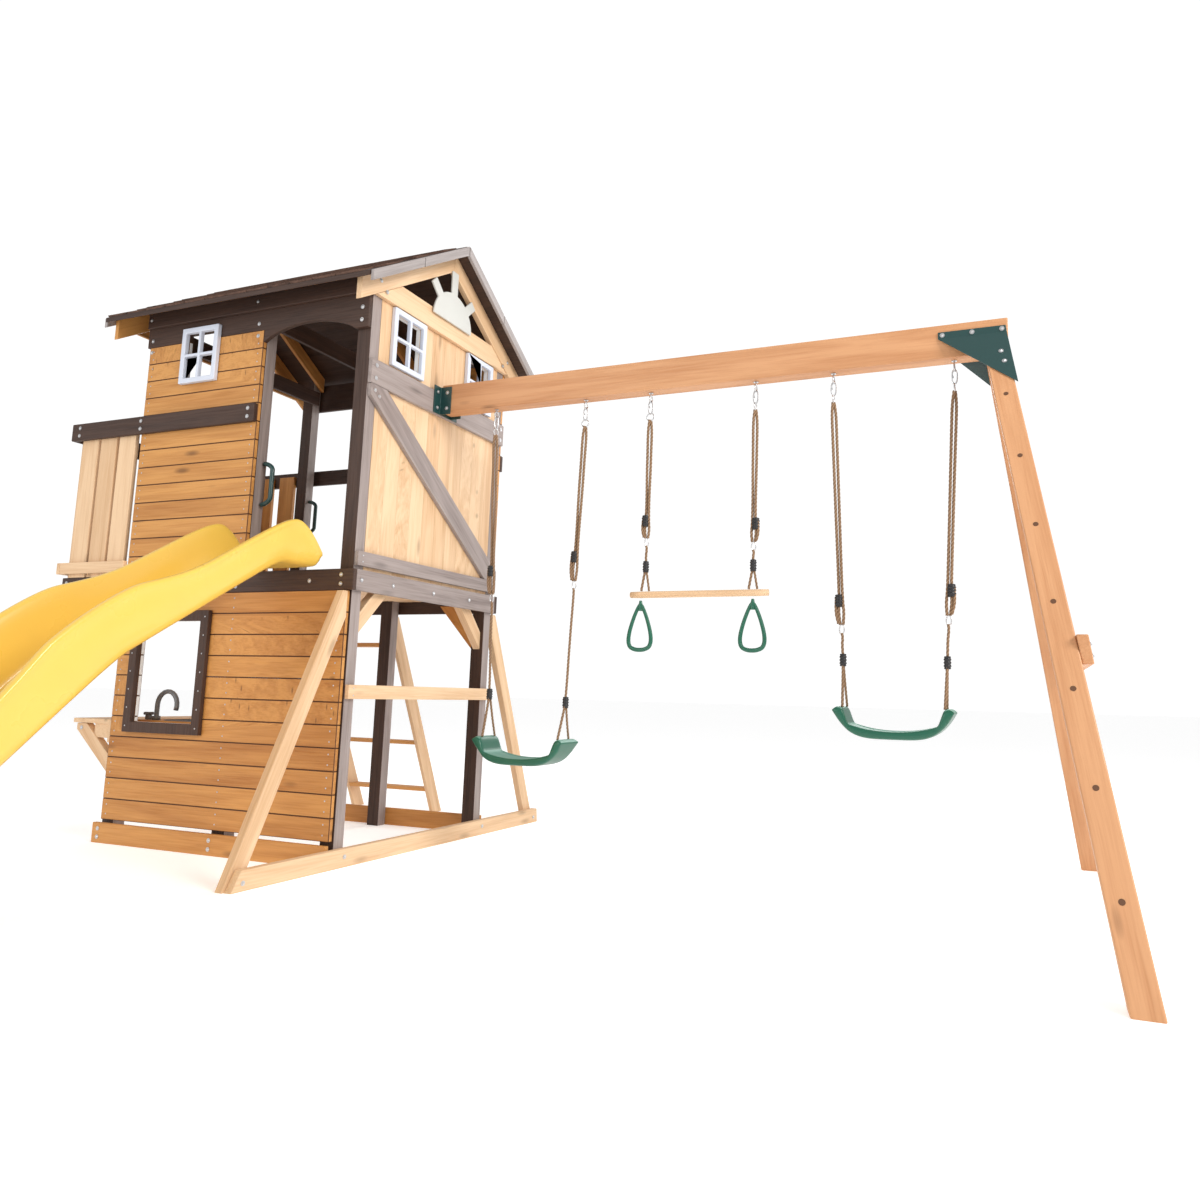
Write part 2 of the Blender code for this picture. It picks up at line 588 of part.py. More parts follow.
def leg_x(z):
    return LEG_X + LEG_LEAN * (LEG_TOP - z) / LEG_TOP


def leg(name, sgn):
    """A leg cut level under the beam and level on the ground."""
    bm = bmesh.new()
    ends = []
    for z in (0.0, LEG_TOP):
        y_out = HALF_W + sgn * leg_out(z)
        y_in = HALF_W + sgn * max(leg_out(z) - LEG_CUT, GAP)
        x0 = leg_x(z) - LEG_W / 2
        x1 = leg_x(z) + LEG_W / 2
        corners = ((x0, y_out, z), (x1, y_out, z), (x1, y_in, z), (x0, y_in, z))
        ends.append([bm.verts.new(c) for c in corners])
    for i in range(4):
        j = (i + 1) % 4
        bm.faces.new((ends[0][i], ends[0][j], ends[1][j], ends[1][i]))
    bm.faces.new(ends[0])
    bm.faces.new(list(reversed(ends[1])))
    return finish(name, bm, TAN)


def gusset(name, sgn):
    """A plate bent where it leaves the beam's face for the leg's."""
    outline = [(-0.265, BEAM_TOP - 0.032), (-0.265, FOLD_Z), (0.034, BEAM_TOP - 0.310), (-0.004, FOLD_Z),
               (-0.008, BEAM_TOP - 0.032)]
    bm = bmesh.new()
    skins = []
    for step in (GAP, GAP + GUSSET_T):
        skin = []
        for x, z in outline:
            y = leg_out(z) if z < FOLD_Z else BEAM_T / 2
            skin.append(bm.verts.new((BEAM_END + x, HALF_W + sgn * (y + step), z)))
        skins.append(skin)
    for skin in skins:
        bm.faces.new((skin[0], skin[1], skin[3], skin[4]))
        bm.faces.new((skin[1], skin[2], skin[3]))
    for i in range(5):
        j = (i + 1) % 5
        bm.faces.new((skins[0][i], skins[0][j], skins[1][j], skins[1][i]))
    return finish(name, bm, STEEL_G)


for tag, sgn in (("front", -1), ("rear", 1)):
    leg(f"leg_{tag}", sgn)
    gusset(f"gusset_{tag}", sgn)
half = leg_out(CROSSBAR_Z) + 0.004
lean_x = LEG_LEAN / LEG_TOP
bar_x = leg_x(CROSSBAR_Z) + LEG_W / 2 + GAP
prism("crossbar", TAN, "Y", HALF_W - half, HALF_W + half,
      [(bar_x + 0.045 * lean_x, CROSSBAR_Z - 0.045),
       (bar_x + 0.034 + 0.045 * lean_x, CROSSBAR_Z - 0.045),
       (bar_x + 0.034 - 0.045 * lean_x, CROSSBAR_Z + 0.045),
       (bar_x - 0.045 * lean_x, CROSSBAR_Z + 0.045)])
# saddle at the tower: back plate and two ears
plate_x = (BOARD + GAP, BOARD + 0.006)
ear_x = (BOARD + GAP, BOARD + 0.066)
ear_z = (BEAM_TOP - BEAM_H - 0.012, BEAM_TOP - 0.012)
inner = BEAM_T / 2 + GAP
boxes("bracket_beam", STEEL_G,
      [(plate_x, (HALF_W - inner - 0.055, HALF_W + inner + 0.055), ear_z),
       (ear_x, (HALF_W - inner - 0.005, HALF_W - inner), ear_z),
       (ear_x, (HALF_W + inner, HALF_W + inner + 0.005), ear_z)])


# ---- swing hardware ------------------------------------------------------
def eye(name, x):
    """Eye with its hole along X, shank up to the beam's underside."""
    r_out = EYE_R + 2 * EYE_WIRE
    top = BEAM_TOP - BEAM_H - GAP
    half_s = EYE_WIRE
    outline = []
    n = 28
    a0 = pi / 2 + half_s / r_out
    span = 2 * pi - 2 * half_s / r_out
    for i in range(n + 1):
        t = a0 + span * i / n
        outline.append((HALF_W + r_out * cos(t), EYE_Z + r_out * sin(t)))
    outline += [(HALF_W + half_s, top), (HALF_W - half_s, top)]
    hole = [(HALF_W + EYE_R * cos(2 * pi * i / 20), EYE_Z + EYE_R * sin(2 * pi * i / 20)) for i in range(20)]
    prism(name, ZINC, "X", x - EYE_WIRE, x + EYE_WIRE, outline, [hole])


AXIS_Z = EYE_Z - EYE_R + HOOK_WIRE + 0.0022


def hanger(name, x, x_end, z_end):
    """Hook through the eye and the rope below it, one bar."""
    path = []
    rad = []
    c_z = AXIS_Z - HOOK_R
    n = 18
    for i in range(n + 1):
        t = -pi / 2 + 0.55 + (2 * pi - 0.55) * i / n
        path.append((x + HOOK_R * cos(t), HALF_W, c_z + HOOK_R * sin(t)))
        rad.append(HOOK_WIRE)
    path[-1] = (x, HALF_W, c_z - HOOK_R)
    neck = c_z - HOOK_R - 0.030
    path.append((x, HALF_W, neck))
    rad.append(HOOK_WIRE)
    path.append((x, HALF_W, neck - 0.012))
    rad.append(ROPE_R)
    steps = 10
    for i in range(1, steps + 1):
        t = i / steps
        path.append((x + (x_end - x) * t, HALF_W, neck - 0.012 + (z_end - neck + 0.012) * t))
        rad.append(ROPE_R)
    tube(name, ROPE, path, rad, 10, (x, HALF_W, AXIS_Z))


def ramp(t):
    t = min(1.0, max(0.0, t))
    return t * t * (3 - 2 * t)


def seat_low(u):
    """Underside above the seat's lowest point, u from -1 to 1 along the plank."""
    return 0.105 * abs(u) ** 4.2


def seat_top(u):
    """Top of the plank, with a roll near each end where the rope goes through."""
    roll = 0.052 * ramp((abs(u) - 0.72) / 0.13) - 0.023 * max(0.0, (abs(u) - 0.88) / 0.12) ** 2
    return SEAT_T + 0.050 * abs(u) ** 2.2 + roll


def seat(name, x0, base):
    """Sagging plank with rolled ends, turning about the swing's axis."""
    mid = x0 + SWING_SPAN / 2
    n = 44
    top = []
    low = []
    for i in range(n + 1):
        u = -1 + 2 * i / n
        x = mid + u * SEAT_LEN / 2
        top.append((x, base + seat_top(u)))
        low.append((x, base + seat_low(u)))
    outline = top + list(reversed(low))
    return prism(name, GREEN, "Y", HALF_W - SEAT_DEPTH / 2, HALF_W + SEAT_DEPTH / 2, outline,
                 origin=(mid, HALF_W, AXIS_Z))


def rope_rest(base):
    """Lowest height for a rope's cut end that clears the seat under it."""
    heights = []
    for k in range(-6, 7):
        u = (SWING_SPAN / 2 - SWING_IN + k * ROPE_R / 4) / (SEAT_LEN / 2)
        heights.append(seat_top(u))
    return base + max(heights) + 0.0020


for tag, x0, base in (("left", SWING_A_X, SEAT_Z_A), ("right", SWING_B_X, SEAT_Z_B)):
    for side, x, inward in (("a", x0, 1), ("b", x0 + SWING_SPAN, -1)):
        eye(f"eye_{tag}_{side}", x)
        hanger(f"rope_{tag}_{side}", x, x + inward * SWING_IN, rope_rest(base))
    seat(f"seat_{tag}", x0, base)
for side, x in (("a", TRAPEZE_X), ("b", TRAPEZE_X + TRAPEZE_SPAN)):
    eye(f"eye_trapeze_{side}", x)
    hanger(f"rope_trapeze_{side}", x, x, BAR_Z + BAR_R + 0.0006)
bar_mid = TRAPEZE_X + TRAPEZE_SPAN / 2
tube("bar_trapeze", LIGHT, [(bar_mid - BAR_LEN / 2, HALF_W, BAR_Z), (bar_mid + BAR_LEN / 2, HALF_W, BAR_Z)],
     BAR_R, 20, (bar_mid, HALF_W, AXIS_Z))


def ring(name, x):
    """Rounded triangle grip that hangs under the bar and turns about it."""
    top = BAR_Z - BAR_R - 0.0010
    corners = [(0.0, -0.024, 0.020), (RING_W / 2 - 0.026, -RING_H + 0.030, 0.030),
               (-RING_W / 2 + 0.026, -RING_H + 0.030, 0.030)]
    outer = []
    inner_pts = []
    spans = ((0.35, pi - 0.35), (-pi / 2, 0.20), (pi - 0.20, 3 * pi / 2))
    for idx in (0, 2, 1):
        cx_, cz_, r = corners[idx]
        a0, a1 = spans[idx]
        for i in range(9):
            t = a0 + (a1 - a0) * i / 8
            outer.append((x + cx_ + r * cos(t), top - 0.002 + cz_ + r * sin(t)))
            ri = r - RING_WIRE * 0.72
            inner_pts.append((x + cx_ + ri * cos(t), top - 0.002 + cz_ + ri * sin(t)))
    prism(name, GREEN, "Y", HALF_W - RING_WIRE / 2, HALF_W + RING_WIRE / 2, outer, [inner_pts],
          origin=(x, HALF_W, BAR_Z))


for side, x in (("a", TRAPEZE_X - 0.020), ("b", TRAPEZE_X + TRAPEZE_SPAN + 0.000)):
    ring(f"ring_{side}", x)

# ---- put the middle of the footprint's box on the world origin -----------
lows = [1e9, 1e9]
highs = [-1e9, -1e9]
built = [ob for ob in bpy.context.scene.collection.objects if ob.type == "MESH"]
for ob in built:
    for vert in ob.data.vertices:
        for a in range(2):
            value = vert.co[a] + ob.location[a]
            lows[a] = min(lows[a], value)
            highs[a] = max(highs[a], value)
for ob in built:
    for a in range(2):
        ob.location[a] -= (lows[a] + highs[a]) / 2
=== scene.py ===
# %% [markdown]
# The frame comes first. Every CAD node arrives in metres, already in its place, and each
# visible piece below is built round those nodes, so nothing is fitted by eye afterwards.

# %% Load the frame
import bpy
import bmesh
import json
import random
from math import cos, sin, pi, log, radians, tan, hypot, sqrt, atan2
from mathutils import Vector, Matrix

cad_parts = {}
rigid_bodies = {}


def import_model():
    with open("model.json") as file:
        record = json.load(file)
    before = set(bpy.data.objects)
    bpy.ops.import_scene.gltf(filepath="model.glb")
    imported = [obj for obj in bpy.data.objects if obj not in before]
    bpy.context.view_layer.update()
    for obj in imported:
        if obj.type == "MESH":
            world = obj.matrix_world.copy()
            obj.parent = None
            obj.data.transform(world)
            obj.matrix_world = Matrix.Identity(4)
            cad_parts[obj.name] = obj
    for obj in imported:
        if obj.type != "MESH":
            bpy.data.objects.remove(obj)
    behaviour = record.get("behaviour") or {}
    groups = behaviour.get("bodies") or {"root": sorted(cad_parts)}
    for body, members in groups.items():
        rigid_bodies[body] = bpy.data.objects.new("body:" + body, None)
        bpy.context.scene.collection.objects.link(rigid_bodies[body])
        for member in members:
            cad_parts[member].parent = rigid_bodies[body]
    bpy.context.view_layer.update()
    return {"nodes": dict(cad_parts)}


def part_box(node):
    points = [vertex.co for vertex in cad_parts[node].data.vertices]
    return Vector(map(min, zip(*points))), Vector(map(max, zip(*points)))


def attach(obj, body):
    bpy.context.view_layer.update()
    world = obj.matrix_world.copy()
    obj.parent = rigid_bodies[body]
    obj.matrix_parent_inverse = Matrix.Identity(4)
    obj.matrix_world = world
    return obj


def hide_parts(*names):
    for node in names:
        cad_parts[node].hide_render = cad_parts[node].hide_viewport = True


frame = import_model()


def span(node):
    low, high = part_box(node)
    return Vector(low), Vector(high)


CORNER_LOW, CORNER_HIGH = span("post_front_right")
GAP = 0.0006
FACE = Vector((CORNER_HIGH.x + GAP, CORNER_LOW.y - GAP, 0.0))


def at(x, y, z):
    """A place measured from the tower's corner nearest the slide and the swings."""
    return Vector((FACE.x + x, FACE.y + y, z))


TOWER_WIDE = span("post_rear_right")[1].y + GAP - FACE.y
HALF = TOWER_WIDE / 2
print("tower width", round(TOWER_WIDE, 3), "corner", [round(v, 3) for v in FACE])

# %% [markdown]
# A child stands under the beam and looks slightly up at the set, so the camera is low, wide and
# turned a little to one side. Building its matrix from a look direction and a small roll keeps
# the uprights leaning the way a hand-held camera leans them.

# %% Camera
EYE_POINT = at(2.7258, -3.0643, 0.7500)
LOOK_TURN = radians(111.247)
LOOK_UP = radians(7.417)
ROLL = radians(1.446)
ahead = Vector((cos(LOOK_TURN) * cos(LOOK_UP), sin(LOOK_TURN) * cos(LOOK_UP), sin(LOOK_UP)))
side = Vector((sin(LOOK_TURN), -cos(LOOK_TURN), 0.0))
above = side.cross(ahead)
cam_right = side * cos(ROLL) + above * sin(ROLL)
cam_up = above * cos(ROLL) - side * sin(ROLL)
camera = bpy.data.objects.new("camera", bpy.data.cameras.new("camera"))
bpy.context.scene.collection.objects.link(camera)
turn = Matrix((cam_right, cam_up, -ahead)).transposed().to_4x4()
camera.matrix_world = Matrix.Translation(EYE_POINT) @ turn
camera.data.sensor_width = 36.0
camera.data.lens = 26.70
camera.data.shift_x = -0.0680
camera.data.shift_y = -0.0169
camera.data.clip_end = 200.0
bpy.context.scene.camera = camera
print("camera", [round(v, 3) for v in EYE_POINT], "lens", camera.data.lens)

# %% [markdown]
# Shader maths reads best as sums. One small class wraps a socket, so that 1 - mask adds the
# Math node it needs, and one method adds every other node with its settings and inputs.


# %% Shader sums
class Sock:
    def __init__(self, shade, socket):
        self.shade = shade
        self.socket = socket

    def join(self, operation, other, flip=False):
        pair = [other, self] if flip else [self, other]
        return self.shade.node("ShaderNodeMath", {"operation": operation}, pair)

    def __add__(self, other):
        return self.join("ADD", other)

    def __radd__(self, other):
        return self.join("ADD", other, True)

    def __sub__(self, other):
        return self.join("SUBTRACT", other)

    def __rsub__(self, other):
        return self.join("SUBTRACT", other, True)

    def __mul__(self, other):
        return self.join("MULTIPLY", other)

    def __rmul__(self, other):
        return self.join("MULTIPLY", other, True)

    def __pow__(self, other):
        return self.join("POWER", other)

    def clip(self):
        return self.shade.node("ShaderNodeClamp", {}, [self, 0.0, 1.0])


class Shade:
    def __init__(self, name):
        self.mat = bpy.data.materials.new(name)
        self.mat.use_nodes = True
        self.tree = self.mat.node_tree
        self.tree.nodes.clear()
        self.out = self.tree.nodes.new("ShaderNodeOutputMaterial")
        self.skin = self.tree.nodes.new("ShaderNodeBsdfPrincipled")
        self.tree.links.new(self.skin.outputs[0], self.out.inputs[0])

    def put(self, socket, value):
        if isinstance(value, Sock):
            self.tree.links.new(value.socket, socket)
        elif hasattr(value, "__len__") and len(value) == 3 and socket.type == "RGBA":
            socket.default_value = (*value, 1.0)
        else:
            socket.default_value = value

    def node(self, kind, settings=None, inputs=(), output=0):
        n = self.tree.nodes.new(kind)
        for key, value in (settings or {}).items():
            setattr(n, key, value)
        pairs = inputs.items() if isinstance(inputs, dict) else enumerate(inputs)
        for key, value in pairs:
            self.put(n.inputs[key], value)
        return Sock(self, n.outputs[output])

    def mix(self, factor, a, b, blend="MIX"):
        n = self.tree.nodes.new("ShaderNodeMix")
        n.data_type = "RGBA"
        n.blend_type = blend
        self.put(n.inputs[0], factor)
        self.put(n.inputs[6], a)
        self.put(n.inputs[7], b)
        return Sock(self, n.outputs[2])

    def set(self, **values):
        for key, value in values.items():
            self.put(self.skin.inputs[key.replace("_", " ")], value)

    def bump(self, height, strength, distance):
        normal = self.node("ShaderNodeBump", {}, {"Strength": strength, "Distance": distance, "Height": height})
        self.put(self.skin.inputs["Normal"], normal)


print("shader helper ready")

# %% [markdown]
# Real boards differ: each has its own tone, its grain runs along its length, and knots are
# stretched ovals. The pattern is read from Object coordinates turned so that the first axis lies
# along the board, and a number stored on each board, called tone, slides and tints it.

# %% Wood
WOODS = {
    "cedar": ((0.620, 0.295, 0.080), (0.390, 0.150, 0.030), 0.52, 0.90),
    "light": ((0.780, 0.545, 0.335), (0.560, 0.330, 0.165), 0.55, 0.60),
    "tan": ((0.600, 0.305, 0.145), (0.430, 0.180, 0.068), 0.50, 0.80),
    "dark": ((0.058, 0.026, 0.015), (0.020, 0.008, 0.005), 0.58, 0.35),
    "grey": ((0.350, 0.290, 0.270), (0.170, 0.130, 0.118), 0.55, 0.50),
    "trim": ((0.380, 0.340, 0.330), (0.210, 0.180, 0.170), 0.55, 0.50),
    "roof": ((0.150, 0.078, 0.052), (0.040, 0.020, 0.014), 0.75, 0.20),
}
wood_made = {}


def wood(kind, along):
    d = Vector(along).normalized()
    key = (kind, tuple(round(v, 3) for v in d))
    if key in wood_made:
        return wood_made[key]
    pale, deep, rough, knotty = WOODS[kind]
    s = Shade("wood_" + kind + "_" + str(len(wood_made)))
    place = s.node("ShaderNodeTexCoord", {}, {}, 3)
    tone = s.node("ShaderNodeAttribute", {"attribute_name": "tone"}, {}, 2)
    n1 = d.orthogonal().normalized()
    n2 = d.cross(n1)
    parts = []
    for axis in (d, n1, n2):
        parts.append(s.node("ShaderNodeVectorMath", {"operation": "DOT_PRODUCT"}, [place, tuple(axis)], 1))
    run = parts[0] + tone * 9.7
    flow = s.node("ShaderNodeCombineXYZ", {}, [run * 1.3, parts[1] * 17.0 + tone * 5.0, parts[2] * 17.0])
    fine = s.node("ShaderNodeCombineXYZ", {}, [run * 5.0, parts[1] * 160.0, parts[2] * 160.0])
    spots = s.node("ShaderNodeCombineXYZ", {}, [run * 2.6, parts[1] * 9.0 + tone * 3.0, parts[2] * 9.0])
    band = s.node("ShaderNodeTexNoise", {}, {"Vector": flow, "Scale": 1.0, "Detail": 4.0, "Distortion": 0.9})
    hair = s.node("ShaderNodeTexNoise", {}, {"Vector": fine, "Scale": 1.0, "Detail": 3.0})
    knot = s.node("ShaderNodeTexVoronoi", {"feature": "F1"}, {"Vector": spots, "Scale": 1.0, "Randomness": 1.0})
    ring = s.node("ShaderNodeMapRange", {}, {"Value": knot, "From Min": 0.05, "From Max": 0.16,
                                             "To Min": 1.0, "To Max": 0.0})
    lines = s.node("ShaderNodeMapRange", {}, {"Value": band, "From Min": 0.36, "From Max": 0.66})
    hairs = s.node("ShaderNodeMapRange", {}, {"Value": hair, "From Min": 0.42, "From Max": 0.70})
    shade = (lines * 0.55 + hairs * 0.28 + (tone - 0.5) * 0.55).clip()
    body = s.mix(shade, pale, deep)
    eye = tuple(c * 0.35 for c in deep)
    body = s.mix(ring * knotty * 0.8, body, eye)
    s.set(Base_Color=body, Roughness=(rough + hairs * 0.16))
    s.bump(hairs * -0.5 + lines * -0.5, 0.35, 0.0012)
    wood_made[key] = s.mat
    return s.mat


X, Y, Z = (1, 0, 0), (0, 1, 0), (0, 0, 1)
print("wood kinds", len(WOODS))


# %% Plastics, steel and rope
def plain(name, color, rough, metal=0.0, coat=0.0, grain=0.0, scale=200.0):
    s = Shade(name)
    place = s.node("ShaderNodeTexCoord", {}, {}, 3)
    cloud = s.node("ShaderNodeTexNoise", {}, {"Vector": place, "Scale": 6.0, "Detail": 3.0})
    tint = s.mix(cloud * 0.30, color, tuple(c * 0.72 for c in color))
    s.set(Base_Color=tint, Roughness=rough + (cloud - 0.5) * 0.10, Metallic=metal)
    s.skin.inputs["Coat Weight"].default_value = coat
    if grain:
        dots = s.node("ShaderNodeTexNoise", {}, {"Vector": place, "Scale": scale, "Detail": 2.0})
        s.bump(dots, grain, 0.0005)
    return s.mat


YELLOW = plain("slide_yellow", (0.880, 0.570, 0.095), 0.28, 0.0, 0.25)
GREEN = plain("seat_green", (0.004, 0.105, 0.058), 0.38, 0.0, 0.1, 0.25, 260.0)
GREEN_STEEL = plain("bracket_green", (0.010, 0.048, 0.046), 0.36, 0.0, 0.2, 0.2, 500.0)
WHITE = plain("window_white", (0.660, 0.700, 0.800), 0.42)
SUN_WHITE = plain("sun_white", (0.600, 0.600, 0.565), 0.45)
ZINC = plain("zinc", (0.620, 0.620, 0.630), 0.34, 1.0)
SCREW = plain("dark_screw", (0.100, 0.065, 0.050), 0.45, 0.8)
TAP_GREY = plain("tap_grey", (0.200, 0.205, 0.215), 0.38)
# Paler green for the seat tops: painted sheen where the light falls on them.
SEAT_SHEEN_GREEN = plain("seat_top_painted_sheen", (0.135, 0.300, 0.235), 0.50, 0.0, 0.0, 0.3, 180.0)
# Seam colours go on the bevelled board edges: painted shade in the grooves between boards.
SEAM_SHADE = plain("seam_painted_shade", (0.115, 0.042, 0.012), 0.7)
SEAM_SHADE_PALE = plain("seam_painted_shade_pale", (0.330, 0.180, 0.080), 0.7)
KNOT = plain("knot_brown", (0.120, 0.050, 0.020), 0.6)
BLACK = plain("sleeve_black", (0.012, 0.012, 0.014), 0.45)


def rope_finish():
    s = Shade("rope_tan")
    place = s.node("ShaderNodeTexCoord", {}, {}, 3)
    fluff = s.node("ShaderNodeTexNoise", {}, {"Vector": place, "Scale": 420.0, "Detail": 2.0})
    tone = s.node("ShaderNodeAttribute", {"attribute_name": "tone"}, {}, 2)
    # The stored tone darkens the rope between its strands: painted shade in the grooves.
    tint = s.mix((fluff * 0.5 + tone * 0.9).clip(), (0.50, 0.33, 0.20), (0.15, 0.080, 0.038))
    s.set(Base_Color=tint, Roughness=0.85)
    s.bump(fluff, 0.4, 0.0006)
    return s.mat


ROPE = rope_finish()
print("materials", len(bpy.data.materials))


# %% [markdown]
# Most pieces follow the same last steps: link the mesh, soften its edges with a small bevel,
# give it a material, hide the CAD node it stands for and parent it to the body that carries it.

# %% Piece helpers
def bake(ob):
    """The evaluated object as a plain mesh, with its modifiers gone."""
    graph = bpy.context.evaluated_depsgraph_get()
    mesh = bpy.data.meshes.new_from_object(ob.evaluated_get(graph), preserve_all_data_layers=True, depsgraph=graph)
    ob.modifiers.clear()
    ob.data = mesh
    return ob


def settle(ob, body, nodes=()):
    if nodes:
        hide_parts(*nodes)
    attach(ob, body)
    return ob


def from_bmesh(name, bm, mat, smooth=False):
    mesh = bpy.data.meshes.new(name)
    bm.normal_update()
    bm.to_mesh(mesh)
    bm.free()
    mesh.materials.append(mat)
    for p in mesh.polygons:
        p.use_smooth = smooth
    ob = bpy.data.objects.new(name, mesh)
    bpy.context.scene.collection.objects.link(ob)
    return ob


def soften(ob, width=0.0025, segments=2, edge=None):
    # An edge material, when given, goes on the bevel faces; the siding rows use it for painted shade between boards.
    if edge:
        ob.data.materials.append(edge)
    m = ob.modifiers.new("soft_edges", "BEVEL")
    m.width = width
    m.segments = segments
    m.limit_method = "ANGLE"
    m.angle_limit = radians(32)
    m.harden_normals = False
    if edge:
        m.material = len(ob.data.materials) - 1
    return bake(ob)


def clean(node, name, mat, body, width=0.0025, smooth=False):
    """A merged, softened copy of a CAD node."""
    src = frame["nodes"][node]
    bm = bmesh.new()
    bm.from_mesh(src.data)
    bmesh.ops.remove_doubles(bm, verts=bm.verts, dist=0.00002)
    bmesh.ops.dissolve_limit(bm, angle_limit=radians(0.5), verts=bm.verts, edges=bm.edges)
    bmesh.ops.recalc_face_normals(bm, faces=bm.faces)
    ob = from_bmesh(name, bm, mat, smooth)
    if width:
        soften(ob, width)
    return settle(ob, body, [node])


def beam(name, low, high, mat, width=0.003):
    """One squared timber between two corners."""
    bm = bmesh.new()
    bmesh.ops.create_cube(bm, size=1.0)
    mid = (Vector(low) + Vector(high)) / 2
    size = Vector(high) - Vector(low)
    for v in bm.verts:
        v.co = mid + Vector((v.co.x * size.x, v.co.y * size.y, v.co.z * size.z))
    return soften(from_bmesh(name, bm, mat), width)


def outline_board(name, axis, lo, hi, points, mat, width=0.0025):
    """A flat outline pushed along one axis, measured from the tower's corner."""
    def put(u, v, w):
        return at(w, u, v) if axis == "X" else at(u, w, v)
    bm = bmesh.new()
    low = [bm.verts.new(put(u, v, lo)) for u, v in points]
    top = [bm.verts.new(put(u, v, hi)) for u, v in points]
    n = len(points)
    bm.faces.new(low)
    bm.faces.new(list(reversed(top)))
    for i in range(n):
        bm.faces.new((low[i], top[i], top[(i + 1) % n], low[(i + 1) % n]))
    bmesh.ops.recalc_face_normals(bm, faces=bm.faces)
    ob = from_bmesh(name, bm, mat)
    return soften(ob, width) if width else ob


def tone_all(ob, value):
    """One tone for a whole board."""
    layer = ob.data.attributes.get("tone") or ob.data.attributes.new("tone", "FLOAT", "POINT")
    layer.data.foreach_set("value", [value] * len(ob.data.vertices))
    return ob


def paint_lit_side_grey(ob, along):
    """The sides that face the swings get the paler grey wood: painted light, standing in for the key light on the dark
    stained timber.
    """
    ob.data.materials.append(wood("grey", along))
    last = len(ob.data.materials) - 1
    # Faces turned towards +X get the grey wood: painted light.
    for face in ob.data.polygons:
        if face.normal.x > 0.7:
            face.material_index = last
    return ob


def merge(name, parts):
    """Several finished boards as one piece."""
    bm = bmesh.new()
    mats = []
    own = []
    for p in parts:
        mat = [m for m in p.data.materials if m][0]
        own.append(mat)
        if mat not in mats:
            mats.append(mat)
    for p, mat in zip(parts, own):
        first = len(bm.faces)
        bm.from_mesh(p.data)
        bm.faces.ensure_lookup_table()
        for f in bm.faces[first:]:
            f.material_index = mats.index(mat)
    ob = from_bmesh(name, bm, mats[0])
    for m in mats[1:]:
        ob.data.materials.append(m)
    for p in parts:
        bpy.data.objects.remove(p, do_unlink=True)
    return ob


print("helpers ready")

# %% [markdown]
# Siding, pickets, deck boards and treads are all one idea: the same board repeated in a row.
# A Geometry Nodes tree lays a line of points, puts a board on each and gives every board its
# own tone from a fixed seed, so a row is set by a count, a start, a step and a size.


# %% Row tree
class Tree:
    def __init__(self, name, inputs):
        self.group = bpy.data.node_groups.new(name, "GeometryNodeTree")
        face = self.group.interface
        face.new_socket(name="Geometry", in_out="OUTPUT", socket_type="NodeSocketGeometry")
        self.ids = {}
        for label, kind in inputs:
            item = face.new_socket(name=label, in_out="INPUT", socket_type=kind)
            self.ids[label] = item.identifier
        self.inp = self.group.nodes.new("NodeGroupInput")
        self.outp = self.group.nodes.new("NodeGroupOutput")

    def given(self, label):
        return self.inp.outputs[label]

    def node(self, kind, settings=None, inputs=None):
        n = self.group.nodes.new(kind)
        for key, value in (settings or {}).items():
            setattr(n, key, value)
        for key, value in (inputs or {}).items():
            if isinstance(value, bpy.types.NodeSocket):
                self.group.links.new(value, n.inputs[key])
            else:
                n.inputs[key].default_value = value
        return n

    def end(self, geometry):
        real = self.node("GeometryNodeRealizeInstances", {}, {"Geometry": geometry})
        paint = self.node("GeometryNodeSetMaterial", {}, {"Geometry": real.outputs[0],
                                                          "Material": self.given("Material")})
        self.group.links.new(paint.outputs[0], self.outp.inputs[0])

    def grow(self, name, values, mesh=None):
        ob = bpy.data.objects.new(name, mesh or bpy.data.meshes.new(name))
        bpy.context.scene.collection.objects.link(ob)
        m = ob.modifiers.new("grow", "NODES")
        m.node_group = self.group
        for label, value in values.items():
            m[self.ids[label]] = value
        return ob


ROW = Tree("row_of_boards", [("Count", "NodeSocketInt"), ("Start", "NodeSocketVector"),
                             ("Step", "NodeSocketVector"), ("Size", "NodeSocketVector"),
                             ("Seed", "NodeSocketInt"), ("Material", "NodeSocketMaterial")])
line = ROW.node("GeometryNodeMeshLine", {"mode": "OFFSET"},
                {"Count": ROW.given("Count"), "Start Location": ROW.given("Start"), "Offset": ROW.given("Step")})
plank = ROW.node("GeometryNodeMeshCube", {}, {"Size": ROW.given("Size")})
laid = ROW.node("GeometryNodeInstanceOnPoints", {}, {"Points": line.outputs[0], "Instance": plank.outputs[0]})
pick = ROW.node("FunctionNodeRandomValue", {"data_type": "FLOAT"}, {2: 0.0, 3: 1.0, "Seed": ROW.given("Seed")})
toned = ROW.node("GeometryNodeStoreNamedAttribute", {"data_type": "FLOAT", "domain": "INSTANCE"},
                 {"Geometry": laid.outputs[0], "Name": "tone", "Value": pick.outputs[1]})
ROW.end(toned.outputs[0])


